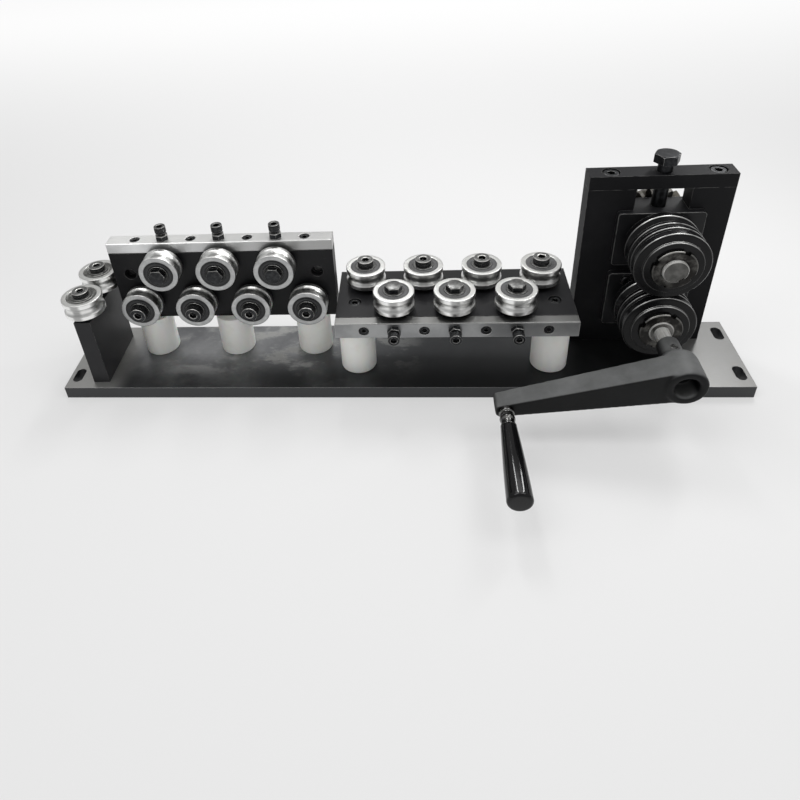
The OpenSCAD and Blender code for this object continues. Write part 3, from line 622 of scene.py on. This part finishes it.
def placed(name, data):
    """A new object in the scene."""
    made = bpy.data.objects.new(name, data)
    scene.collection.objects.link(made)
    return made


def piece(name, shells, body, stands_for):
    """One object made of (shell, finish name) pairs. It rides on `body` and is smooth except
    where faces meet at more than `CREASE` degrees."""
    counts = np.cumsum([0] + [len(shell[0]) for shell, _ in shells])
    points = np.vstack([shell[0] for shell, _ in shells])
    faces = np.vstack([shell[1] + n for (shell, _), n in zip(shells, counts)])
    track = np.vstack([shell[2] for shell, _ in shells])
    kinds = list(dict.fromkeys(kind for _, kind in shells))
    which = np.concatenate([np.full(len(s[1]), kinds.index(k)) for s, k in shells])
    mesh = bpy.data.meshes.new(name)
    mesh.from_pydata(points.tolist(), [], faces.tolist())
    lathe = mesh.attributes.new("lathe", "FLOAT_VECTOR", "POINT")
    lathe.data.foreach_set("vector", track[:, :3].astype(np.float32).ravel())
    facing = mesh.attributes.new("facing", "FLOAT", "POINT")
    facing.data.foreach_set("value", track[:, 3].astype(np.float32))
    for kind in kinds:
        mesh.materials.append(FINISHES[kind])
    mesh.polygons.foreach_set("material_index", which.astype(np.int32))
    bm = bmesh.new()
    bm.from_mesh(mesh)
    bmesh.ops.remove_doubles(bm, verts=bm.verts, dist=WELD)
    bmesh.ops.dissolve_degenerate(bm, edges=bm.edges, dist=WELD)
    volume = bm.calc_volume(signed=True)
    bm.to_mesh(mesh)
    bm.free()
    mesh.polygons.foreach_set("use_smooth", np.ones(len(mesh.polygons), bool))
    mesh.set_sharp_from_angle(angle=np.radians(CREASE))
    made = placed(name, mesh)
    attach(made, body)
    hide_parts(*stands_for)
    print(f"{name}: {len(mesh.polygons)} faces, {volume * 1e9:.0f} mm3")


def middle(node):
    """Centre of a CAD node's box, in metres."""
    low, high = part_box(node)
    return np.array((low + high) / 2)


def span(node):
    """Size of a CAD node's box, in millimetres."""
    low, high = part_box(node)
    return np.array(high - low) / MM


# %% [markdown]
# A roller is a ball bearing whose thick outer ring has a round groove. The ring has a ground face
# and eased corners. A rubber seal fills each side on the units; the guide pair has steel shields.

# %% Sixteen rollers
GROOVE_R, GROOVE_DEPTH, EDGE = 6.0, 1.5, 0.9
SEAL_R, SEAL_SINK, INNER_R = 13.3, 0.55, 8.5


def ring_shell(radius, width):
    """Outer ring: up the outside over the groove's arc, back down inside."""
    half = width / 2
    centre = radius - GROOVE_DEPTH + GROOVE_R
    reach = np.sqrt(GROOVE_R ** 2 - (GROOVE_R - GROOVE_DEPTH) ** 2)
    a = np.linspace(-1, 1, 19)[1:-1] * np.arcsin(reach / GROOVE_R)
    arc = np.stack([centre - GROOVE_R * np.cos(a), GROOVE_R * np.sin(a)], -1)
    lower = soften([(SEAL_R - 0.3, -half + SEAL_SINK), (SEAL_R, -half), (radius, -half),
                    (radius, -reach), tuple(arc[0])], [0, 0.25, EDGE, 0.35, 0])
    upper = soften([tuple(arc[-1]), (radius, reach), (radius, half), (SEAL_R, half),
                    (SEAL_R - 0.3, half - SEAL_SINK)], [0, 0.35, EDGE, 0.25, 0])
    bore = [(INNER_R + 0.1, half - SEAL_SINK), (INNER_R + 0.1, -half + SEAL_SINK)]
    return turned(np.vstack([lower, arc[1:-1], upper, bore, lower[:1]]), 128)


def seal_shell(width, side):
    """Seal disc in the ring's recess, with a raised lip at the inner ring and a bead outside."""
    steps = np.array([(INNER_R + 0.1, 0.9), (SEAL_R - 0.25, 0.9), (SEAL_R - 0.25, 0.15),
                      (SEAL_R - 0.9, 0.12), (SEAL_R - 1.2, 0.4), (INNER_R + 2.1, 0.45),
                      (INNER_R + 1.8, 0.2), (INNER_R + 1.0, 0.15), (INNER_R + 0.8, 0.35),
                      (INNER_R + 0.1, 0.3)])
    outline = steps * (1, -1) + (0, width / 2)
    points, faces, track = turned(soften(outline, 0.12, 2, closed=True), 96)
    return points * (1, side, side), faces, track


def roller(node, axis):
    """Ring and both seals of one roller, as wide and as large as its CAD node."""
    size = span(node)
    width = size[1] if abs(axis[1]) else size[2]
    disc = "shield_steel" if node.startswith("guide") else "seal_rubber"
    shells = [(ring_shell(size[0] / 2, width), "roller_steel"),
              (seal_shell(width, 1), disc), (seal_shell(width, -1), disc)]
    made = [(aimed(shell, middle(node), axis), kind) for shell, kind in shells]
    piece(node + "_ring", made, node, [node])


VIEWER, UP = (0, -1, 0), (0, 0, 1)
ROLLERS = {name: VIEWER if name.startswith("upright") else UP
           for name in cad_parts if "_roller_" in name}
for name, axis in ROLLERS.items():
    roller(name, axis)

# %% [markdown]
# A socket cap screw is one grid: shank, seat, knurled side, rounded rim, then down a six-sided
# socket to a conical bottom. The knurl is a small ripple of the radius, the socket a hexagon.

# %% Screws, nuts and washers
KNURL, THREAD_DEPTH, CHAMFER, NEAR = 0.16, 0.62, 0.58, 0.01


def cap_screw(shank_r, shank_len, head_r, head_h, key, ribs=40, thread=0.0):
    """Radius and height tell the zones apart: knurl on the head's side, hexagon in the socket,
    and a wound thread of pitch `thread` on the shank."""
    floor = head_h * 0.42
    body = soften([(0, -shank_len), (shank_r, -shank_len), (shank_r, 0)], [0, 0.4, 0], 2)
    if thread:
        heights = np.arange(-shank_len + 0.5, -0.3, thread / 8)
        wind = np.stack([np.full(len(heights), shank_r), heights], -1)
        body = np.vstack([body[:-1], wind, body[-1:]])
    head = soften([(shank_r, 0), (head_r, 0), (head_r, head_h), (key * 0.66, head_h),
                   (key / 2, head_h - 0.5)], [0, 0.25, 0.8, 0.2, 0])
    knurl = np.linspace(0.6, head_h - 1.1, 5)
    rim = np.stack([np.full(5, head_r), knurl], -1)
    cut = int(np.argmax(head[:, 1] > 0.3))
    socket = [(key / 2, head_h - 0.5), (key / 2, floor), (0, floor - key * 0.2)]
    profile = np.vstack([body, head[:cut], rim, head[cut:], socket])
    hexagon = six_sided(key)

    def shape(r, a, z):
        side = (np.abs(r - head_r) < NEAR) & (z > 0.5) & (z < head_h - 1.0)
        inside = (np.abs(r - key / 2) < NEAR) & (z >= floor - NEAR) & (z > 0)
        wound = (np.abs(r - shank_r) < NEAR) & (z < -0.25)
        phase = (z / (thread or 1.0) - a / (2 * np.pi)) % 1.0
        r = np.where(side, r - KNURL * np.abs(np.sin(a * ribs / 2)), r)
        r = np.where(wound, r - THREAD_DEPTH * thread * (0.5 - np.abs(phase - 0.5)) * 2, r)
        return np.where(inside, hexagon(a), r)
    points, faces, track = turned(profile, 160, shape)
    in_socket = (track[:, 2] > 0) & (track[:, 2] < head_h - 0.3) & (track[:, 0] < head_r - 1)
    track[in_socket, 3] = 0
    return points, faces, track


def hex_block(flats, height, bore=0.0):
    """Bolt head (bore 0) or nut: a hexagon cut by a 30 degree turned chamfer, R = min(both)."""
    corner = flats / np.sqrt(3)
    edge = np.linspace(0, 1, 6)
    cut = corner - flats / 2 + 0.35
    top = np.stack([corner + 0.05 - edge * cut, height - CHAMFER * cut * (1 - edge)], -1)
    end = [(bore + 0.5, height), (bore, height - 0.5), (bore, 0)] if bore else [(0, height)]
    side = [(corner + 0.05, z) for z in (0, 0.15, top[0, 1] - 0.15)]
    profile = np.vstack([[(bore, 0)], side, top, end])
    hexagon = six_sided(flats)

    def shape(r, a, z):
        return np.where(r > bore + 0.6, np.minimum(r, hexagon(a)), r)
    return turned(profile, 144, shape)


def tube(outer, inner, foot, top):
    """Washer, spacer or inner ring between two heights."""
    loop = [(inner, foot), (outer, foot), (outer, top), (inner, top)]
    return turned(soften(loop, 0.3, 3, closed=True), 96)


def lifted(shell, height):
    """The shell moved along +Z by `height` millimetres."""
    points, faces, track = shell
    return points + (0, 0, height), faces, track


# %% [markdown]
# Each fixed roller turns on a sleeve held by a washer and a cap screw. The ten sets belong to the
# frame, so they are one piece. A set stands on the plate and is drawn from there outwards.

# %% Fixed axles
SINK, SEAM = 1.4, 0.05
WASHER_R, WASHER_T, SPACER_R = 8.4, 1.5, 7.6
AXLE_R, BORE_R, AXLE_LEN = 4.0, 4.2, 32
CAP_R, CAP_KEY = 7.0, 6.0
HEADS = {"upright": 7.4, "flat": 6.2, "guide": 4.9}
GAP = (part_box("upright_plate")[0].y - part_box("upright_fixed_roller_1")[1].y) / MM
WIDTH = span("upright_fixed_roller_1")[1]
FACE = GAP + WIDTH
SEAT = FACE - SINK + WASHER_T + 3 * SEAM


def axle_core(foot):
    """Spacer and inner ring up to the sunk face, and the washer on them."""
    return [(tube(SPACER_R, BORE_R, foot, GAP), "shield_steel"),
            (tube(INNER_R - 0.1, BORE_R, GAP, FACE - SINK), "washer_steel"),
            (lifted(tube(WASHER_R, BORE_R, 0, WASHER_T), FACE - SINK + SEAM), "washer_steel")]


def fixed_set(head_h):
    screw = cap_screw(AXLE_R, AXLE_LEN, CAP_R, head_h, CAP_KEY)
    return axle_core(0.02) + [(lifted(screw, SEAT), "black_oxide")]


def seat_of(node, axis):
    """Foot of a roller's axle: from the roller's middle back to its plate."""
    return middle(node) - np.array(axis) * (WIDTH / 2 + GAP) * MM


turns = np.random.default_rng(7).uniform(0, np.pi / 3, 40)
fixed = [n for n in ROLLERS if "fixed" in n or n.startswith("guide")]
shells = [(aimed(shell, seat_of(n, ROLLERS[n]), ROLLERS[n], turns[i]), kind)
          for i, n in enumerate(fixed) for shell, kind in fixed_set(HEADS[n.split("_")[0]])]
piece("roller_axles", shells, "frame", ["fixed_axles"])

# %% [markdown]
# A pressing roller's axle passes through its slide block. A hexagon bolt holds the roller in
# front, and a washer and nut close it behind the plate. It rides with the block.

# %% Pressing axles and adjusting screws
PLATE_T = span("upright_plate")[1]
BOLT_FLATS, BOLT_TURN = 13.0, np.radians(25)
HEAD_H, NUT_H, TAIL, BLOCK_FOOT = 5.3, 6.5, 0.8, 2.1
BACK_WASHER_R, BACK_WASHER_T = 13.0, 2.0
SCREW_R, SCREW_HEAD_R, SCREW_HEAD_H = 3.0, 5.0, 6.0
SCREW_KEY, SCREW_RIBS, PITCH = 5.0, 32, 1.0


def press_set():
    """Axle core, bolt with its shank, and the washer and nut behind the plate."""
    tail = -PLATE_T - BACK_WASHER_T - NUT_H - TAIL
    shank = [(0, tail), (AXLE_R - 0.4, tail), (AXLE_R, tail + 0.4), (AXLE_R, SEAT + 0.5),
             (0, SEAT + 0.5)]
    back = -PLATE_T - BACK_WASHER_T - 2 * SEAM
    nut = hex_block(BOLT_FLATS, NUT_H, AXLE_R + 0.1)
    return axle_core(BLOCK_FOOT) + [
        (lifted(hex_block(BOLT_FLATS, HEAD_H), SEAT), "black_oxide"),
        (turned(shank, 48), "black_oxide"),
        (lifted(tube(BACK_WASHER_R, BORE_R, 0, BACK_WASHER_T), back), "shield_steel"),
        (lifted(nut, back - NUT_H - SEAM), "black_oxide")]


def adjusting_screw(node, axis):
    """Knurled head on a threaded shank, pointing along `axis`."""
    low, high = (np.array(p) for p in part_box(node))
    axis = np.array(axis, float)
    centre = (low + high) / 2
    total = abs((high - low) @ axis) / MM
    seat = centre + axis * (total / 2 - SCREW_HEAD_H) * MM
    shell = cap_screw(SCREW_R, total - SCREW_HEAD_H, SCREW_HEAD_R, SCREW_HEAD_H, SCREW_KEY,
                      SCREW_RIBS, PITCH)
    screw = aimed(shell, seat, axis)
    piece(node + "_threaded", [(screw, "oily_oxide")], node, [node])


for name, axis in ROLLERS.items():
    if "press" in name:
        family, number = name.split("_press_roller_")
        axle = f"{family}_axle_{number}"
        turn = BOLT_TURN + turns[int(number)] / 6
        held = [(aimed(shell, seat_of(name, axis), axis, turn), kind)
                for shell, kind in press_set()]
        piece(axle + "_bolt", held, f"{family}_slide_{number}", [axle])
        adjusting_screw(f"{family}_screw_{number}", UP if family == "upright" else VIEWER)

# %% [markdown]
# Under each adjusting screw's head a lock nut sits on the bar. The six nuts stay with the frame.

# %% Lock nuts
LOCK_FLATS, LOCK_H = 10.0, 5.0
nuts = []
for family, axis in (("upright", UP), ("flat", VIEWER)):
    low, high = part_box(f"{family}_bar")
    for number in (1, 2, 3):
        foot = middle(f"{family}_screw_{number}")
        if family == "upright":
            foot[2] = high.z
        else:
            foot[1] = low.y
        nut = lifted(hex_block(LOCK_FLATS, LOCK_H, SCREW_R + 0.1), SEAM)
        nuts.append((aimed(nut, foot, axis, turns[number + 9]), "black_oxide"))
piece("lock_nut_set", nuts, "frame", ["lock_nuts"])

# %% [markdown]
# The nylon spacers are turned at both ends. Only the lathe's light chamfer breaks their outline.

# %% Nylon spacers
POST_R, POST_BORE, FLAT_POST_IN = 16.0, 4.2, 32.0
INSETS = {"upright": 25.0, "flat": 15.3}


def spacer(height):
    """Post with a screw hole right through and a chamfer at both ends."""
    outline = [(POST_BORE, 0), (POST_R, 0), (POST_R, height), (POST_BORE, height)]
    return turned(soften(outline, [0.3, 1.2, 1.0, 0.3], 5, closed=True), 128)


base_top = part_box("base_plate")[1].z
posts = []
for family, count in (("upright", 3), ("flat", 2)):
    low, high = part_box(f"{family}_plate")
    inset = INSETS[family] * MM
    y = (low.y + high.y) / 2 if family == "upright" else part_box("flat_bar")[0].y + FLAT_POST_IN * MM
    for x in np.linspace(low.x + inset, high.x - inset, count):
        posts.append((aimed(spacer((low.z - base_top) / MM), (x, y, base_top)), "white_nylon"))
piece("nylon_spacers", posts, "frame", ["nylon_posts"])

# %% [markdown]
# A feed roll is two discs on one shaft, with the wire's groove between them. The front disc has
# two more grooves in its rim, and a raised step that the round nut presses on.

# %% Feed rolls and their nuts
SHAFT_R, VEE_ROOT, STEP = 10.0, 25.8, 2.5
SIZE_GROOVES, GROOVE_HALF = (-19.3, -12.3), 1.7
NUT_R, NUT_FLOOR, NUT_TURN, SLOT_HALF = 17.5, 15.2, 25.0, 2.4


def feed_discs(front, back, wire):
    """Both discs along the shaft: heights are depths measured to the back."""
    half = ROLL_R - VEE_ROOT
    b = SHAFT_R + 0.02
    near = [(b, front - STEP), (STEP_R - 0.8, front - STEP), (STEP_R, front - STEP + 0.8),
            (STEP_R, front - 0.3), (STEP_R + 0.8, front), (ROLL_R - 1.2, front),
            (ROLL_R, front + 1.2)]
    for y in SIZE_GROOVES:
        near += [(ROLL_R, y - GROOVE_HALF), (ROLL_R - GROOVE_HALF, y - 0.3),
                 (ROLL_R - GROOVE_HALF, y + 0.3), (ROLL_R, y + GROOVE_HALF)]
    near += [(ROLL_R, wire - half - 0.3), (ROLL_R - 0.5, wire - half + 0.4),
             (VEE_ROOT, wire - SEAM), (b, wire - SEAM)]
    far = [(b, wire + SEAM), (VEE_ROOT, wire + SEAM), (ROLL_R - 0.5, wire + half - 0.4),
           (ROLL_R, wire + half + 0.3), (ROLL_R, back - 1), (ROLL_R - 1, back), (b, back)]
    return [turned(soften(outline, 0.35, 4, closed=True), 192) for outline in (near, far)]


def slotted_nut(front, back):
    """Round nut with four spanner slots: inside a slot the radius falls to NUT_FLOOR."""
    b = SHAFT_R + 0.05
    outline = [(b, front), (NUT_R - 1.0, front), (NUT_R, front + 1.0), (NUT_R, back), (b, back)]
    profile = soften(outline, 0.3, 3, closed=True)

    def shape(r, a, z):
        across = ((a - np.radians(NUT_TURN) + np.pi / 4) % (np.pi / 2) - np.pi / 4) * (NUT_R - 1)
        return np.where((np.abs(across) < SLOT_HALF) & (r > NUT_FLOOR), NUT_FLOOR, r)
    return turned(profile, 360, shape)


wire_depth = middle("upright_fixed_roller_1")[1] / MM
for which in ("lower", "upper"):
    low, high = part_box(f"{which}_roll")
    centre = middle(f"{which}_roll") * (1, 0, 1)
    shells = feed_discs(low.y / MM + STEP, high.y / MM, wire_depth)
    discs = [(aimed(shell, centre, (0, 1, 0)), "feed_roll") for shell in shells]
    piece(f"{which}_feed_discs", discs, f"{which}_drive", [f"{which}_roll"])
    low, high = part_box(f"{which}_nut")
    nut = aimed(slotted_nut(low.y / MM, high.y / MM), centre, (0, 1, 0))
    piece(f"{which}_round_nut", [(nut, "worn_nut")], f"{which}_drive", [f"{which}_nut"])

# %% [markdown]
# The crank is cast in sand, so none of its edges is sharp, and the arm runs into the hub through a
# soft corner. A loft and a turned hub could be joined by hand. Here the exact solid is copied and
# merged, cut into even voxels, and smoothed: every edge is eased alike and the bores stay round.

# %% Crank casting
VOXEL, EASING = 0.0007, 12


def casting(node, name, kind):
    """Copy of a node's mesh, remeshed to `VOXEL` and smoothed `EASING` times: each pass moves a
    point halfway to the mean of its neighbours."""
    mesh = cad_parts[node].data.copy()
    bm = bmesh.new()
    bm.from_mesh(mesh)
    bmesh.ops.remove_doubles(bm, verts=bm.verts, dist=1e-6)
    bm.to_mesh(mesh)
    bm.free()
    rough = placed(name + "_rough", mesh)
    remesh = rough.modifiers.new("even", "REMESH")
    remesh.mode, remesh.voxel_size = "VOXEL", VOXEL
    ease = rough.modifiers.new("ease", "SMOOTH")
    ease.factor, ease.iterations = 0.5, EASING
    done = rough.evaluated_get(bpy.context.evaluated_depsgraph_get())
    cast = bpy.data.meshes.new_from_object(done)
    bpy.data.objects.remove(rough)
    cast.materials.clear()
    cast.materials.append(FINISHES[kind])
    cast.polygons.foreach_set("use_smooth", np.ones(len(cast.polygons), bool))
    made = placed(name, cast)
    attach(made, "lower_drive")
    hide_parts(node)
    print(f"{name}: {len(cast.polygons)} faces")


casting("crank_arm", "crank_casting", "cast_crank")

# %% [markdown]
# The handle turns on a polished spindle with a collar and a bead, pressed into the arm's end. The
# grip swells like a part of a sine and closes in an eased end. Both are turned along the viewer's
# axis, with heights measured from the arm's front.

# %% Spindle, set screw and grip
PIN_R, PIN_IN, PIN_OUT = 4.0, 11, 50
SPINDLE = 17.6
COLLAR_R, BEAD_R, BEAD_RISE = 6.2, 5.3, 0.8
grip_low, grip_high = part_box("handle_grip")
GRIP_LEN = (grip_high.y - grip_low.y) / MM
GRIP_R, NECK_R, END_ROUND, SWELL = 9.5, 6.3, 2.6, 76.0
ARM_FRONT = grip_high.y + (SPINDLE + 0.35) * MM
handle_axis = middle("handle_grip") * (1, 0, 1)
hub_axis = middle("lower_nut") * (1, 0, 1)


def spindle_shell():
    """Collar, bead R = BEAD_R + BEAD_RISE sin^2 (pi t), neck and ferrule; the pin runs both
    ways, into the arm and into the grip."""
    t = np.linspace(0, 1, 17)
    bead = np.stack([BEAD_R + BEAD_RISE * np.sin(np.pi * t) ** 2, 5 + 8 * t], -1)
    collar = soften([(0, -PIN_IN), (PIN_R, -PIN_IN), (PIN_R, 0), (COLLAR_R - 0.5, 0),
                     (COLLAR_R, 0.5), (COLLAR_R, 3.5), (BEAD_R, 4.2)],
                    [0, 0.4, 0.1, 0.2, 0.2, 0.4, 0], 3)
    neck = soften([tuple(bead[-1]), (BEAD_R - 0.3, SPINDLE - 1.7), (COLLAR_R, SPINDLE - 1.5),
                   (COLLAR_R, SPINDLE - 0.2), (PIN_R, SPINDLE), (PIN_R, SPINDLE + PIN_OUT),
                   (0, SPINDLE + PIN_OUT)], [0, 0.2, 0.25, 0.25, 0.1, 0.4, 0], 3)
    return turned(np.vstack([collar, bead, neck[1:]]), 96)


def set_screw(radius, height, key):
    """Headless screw: outside, eased rim, hexagon socket with a flat floor."""
    hexagon, half = six_sided(key), key / 2
    profile = [(0, 0), (radius, 0), (radius, height - 0.2), (radius - 0.2, height),
               (half + 0.1, height), (half, height - 0.1), (half, 0.9), (0, 0.9)]

    def shape(r, a, z):
        return np.where(np.abs(r - half) < NEAR, hexagon(a), r)
    return turned(profile, 96, shape)


def grip_shell():
    """Radius at s of the length: neck + (grip - neck) sin(76 degrees s) / sin 76, then the end."""
    s = np.linspace(0.6 / GRIP_LEN, 1 - END_ROUND / GRIP_LEN, 40)
    rise = np.sin(np.radians(np.minimum(90, SWELL * s))) / np.sin(np.radians(SWELL))
    side = np.stack([NECK_R + (GRIP_R - NECK_R) * rise, s * GRIP_LEN], -1)
    a = np.radians(np.arange(8, 91, 8))
    end = np.stack([side[-1, 0] - END_ROUND * (1 - np.cos(a)),
                    GRIP_LEN - END_ROUND * (1 - np.sin(a))], -1)
    start = [(PIN_R + 0.05, 0), (NECK_R - 0.6, 0)]
    return turned(np.vstack([start, side, end, [(0, GRIP_LEN)]]), 128)


GRUB_LEAN, GRUB_Y = np.radians(5.0), -62.5
GRUB_R, GRUB_H, GRUB_KEY, GRUB_FOOT = 2.95, 2.4, 3.0, 6.05
outward = np.array((np.sin(GRUB_LEAN), 0, np.cos(GRUB_LEAN)))
grub_at = hub_axis + (0, GRUB_Y * MM, 0) + outward * GRUB_FOOT * MM
grub = aimed(set_screw(GRUB_R, GRUB_H, GRUB_KEY), grub_at, outward)
spindle = aimed(spindle_shell(), handle_axis + (0, ARM_FRONT, 0), VIEWER)
piece("crank_spindle", [(spindle, "polished_pin"), (grub, "oily_oxide")], "lower_drive",
      ["crank_pins"])
grip = aimed(grip_shell(), handle_axis + (0, grip_high.y, 0), VIEWER)
piece("grip_moulding", [(grip, "grip_plastic")], "grip", ["handle_grip"])

# %% [markdown]
# The remaining nodes already have their true shape. Each keeps its mesh and only gets a finish.

# %% Finishes for the frame's own solids
CARRIED = {
    "base_plate": "base_steel", "entry_post": "black_post", "cap_screws": "oily_oxide",
    "upright_plate": "black_plate", "flat_plate": "black_plate", "upright_bar": "upright_ground",
    "flat_bar": "flat_ground", "drive_plate": "black_drive", "drive_cap": "black_drive",
    "lower_housing": "black_housing", "upper_housing": "black_housing",
    "lower_shaft": "bright_shaft", "upper_shaft": "bright_shaft", "lower_gear": "gear_steel",
    "upper_gear": "gear_steel", "pressure_screw": "black_oxide",
}
CARRIED |= {f"{family}_carrier_{number}": "black_oxide"
            for family in ("upright", "flat") for number in (1, 2, 3)}
for name, kind in CARRIED.items():
    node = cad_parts[name]
    node.data.materials.clear()
    node.data.materials.append(FINISHES[kind])
print("carried over:", len(CARRIED))

# %% [markdown]
# The picture is taken from the front and above. The floor is a plain pale sheet; soft panels hang
# over the bench, and two of them are narrow enough to draw the long highlights on the grip.

# %% Floor and light
BOUNCED, SEEN = 0.76, 0.36
GLOW_NEAR, GLOW_FAR, GLOW_ALONG = 0.40, 0.76, (0.1, 1.5)
SHEET, UNDER = 20, -0.0002


def floor_sheet():
    """Matt sheet. The camera and mirrors see it partly self-lit, paler with distance, so that it
    keeps the shadow and stays a plain pale ground; soft light only meets its `BOUNCED` grey."""
    f = Finish("floor_sheet", Roughness=0.9, Specular_IOR_Level=0.1, Emission_Strength=1.0)
    direct = sum(f.node("ShaderNodeLightPath", out=f"Is {kind} Ray")
                 for kind in ("Camera", "Glossy", "Transmission")).held()
    depth = f.component(f.place(), "Y").ramp(*GLOW_ALONG)
    glow = f.mix(depth, (GLOW_NEAR,) * 3, (GLOW_FAR,) * 3)
    f.set(Base_Color=f.mix(direct, (BOUNCED,) * 3, (SEEN,) * 3))
    f.set(Emission_Color=f.mix(direct, (0, 0, 0), glow))
    return f


floor_mesh = bpy.data.meshes.new("floor")
corners = [(-SHEET, -SHEET, 0), (SHEET, -SHEET, 0), (SHEET, SHEET, 0), (-SHEET, SHEET, 0)]
floor_mesh.from_pydata(corners, [], [(0, 1, 2, 3)])
floor_mesh.materials.append(floor_sheet().material)
floor = placed("floor", floor_mesh)
floor.location.z = UNDER


def panel(name, at, aim, size, power):
    """Rectangular light at `at`, facing `aim`: size in metres, power in watts."""
    light = bpy.data.lights.new(name, "AREA")
    light.shape = "RECTANGLE"
    light.size, light.size_y = size
    light.energy = power
    lamp = placed(name, light)
    lamp.location = at
    lamp.rotation_euler = (Vector(aim) - Vector(at)).to_track_quat("-Z", "Y").to_euler()


AT_GRIP = (0.09, -0.17, 0.03)
panel("panel_left", (-0.45, -0.25, 1.15), (0, 0, 0.05), (0.5, 0.9), 4.5)
panel("panel_right", (0.55, -0.15, 1.2), (0.1, 0, 0.05), (0.5, 0.9), 4.5)
panel("panel_back", (0, 0.9, 1.5), (0, 0, 0.08), (1.8, 0.5), 5.5)
panel("strip_left", (-0.07, 0.33, 0.66), AT_GRIP, (0.05, 0.26), 1.1)
panel("strip_right", (0.379, 0.227, 0.456), AT_GRIP, (0.045, 0.24), 0.85)

HORIZON, OVERHEAD, ROOM = 0.74, 0.88, 0.54
world = bpy.data.worlds.new("room")
world.use_nodes = True
scene.world = world


def room_light():
    """World colour by height of the ray: grey at the horizon, paler above. The world is no
    material, so the finish is only given its node tree."""
    f = Finish.__new__(Finish)
    f.tree = world.node_tree
    back = f.tree.nodes["Background"]
    height = f.component(f.node("ShaderNodeTexCoord", out="Generated"), "Z")
    colour = f.mix(height.ramp(-0.05, 0.6), (HORIZON,) * 3, (OVERHEAD,) * 3)
    f.plug(back.inputs["Color"], colour)
    back.inputs["Strength"].default_value = ROOM


room_light()
print("lights:", bpy.data.lights.keys())

# %% [markdown]
# The camera stands where the photographer stood. Its place and lens were worked out together from
# the machine's straight edges and round rollers; the frame of the picture is off the lens axis.

# %% Camera
CAMERA_AT = (0.0224181, -0.5111868, 0.4451371)
YAW, PITCH, ROLL = 0.1133, 0.5961, -0.0794
PICTURE, SENSOR = 800, 36.0
FOCAL_PX, CENTRE_PX = 709.4489, (352.1873, 281.1341)


def camera_axes():
    """Right, up and backward of the camera from yaw, pitch and roll."""
    right = Vector((np.cos(YAW), np.sin(YAW), 0))
    ahead = Vector((-np.sin(YAW) * np.cos(PITCH), np.cos(YAW) * np.cos(PITCH), -np.sin(PITCH)))
    up = right.cross(ahead)
    across = np.cos(ROLL) * right + np.sin(ROLL) * up
    above = -np.sin(ROLL) * right + np.cos(ROLL) * up
    return across, above, -ahead


camera = placed("camera", bpy.data.cameras.new("camera"))
turned_to = Matrix(camera_axes()).transposed().to_4x4()
camera.matrix_world = Matrix.Translation(CAMERA_AT) @ turned_to
camera.data.sensor_width = SENSOR
camera.data.lens = FOCAL_PX / PICTURE * SENSOR
camera.data.shift_x = (PICTURE / 2 - CENTRE_PX[0]) / PICTURE
camera.data.shift_y = (CENTRE_PX[1] - PICTURE / 2) / PICTURE
camera.data.clip_start = 0.01
scene.camera = camera
scene.view_settings.view_transform = "Standard"
print("camera at", CAMERA_AT)
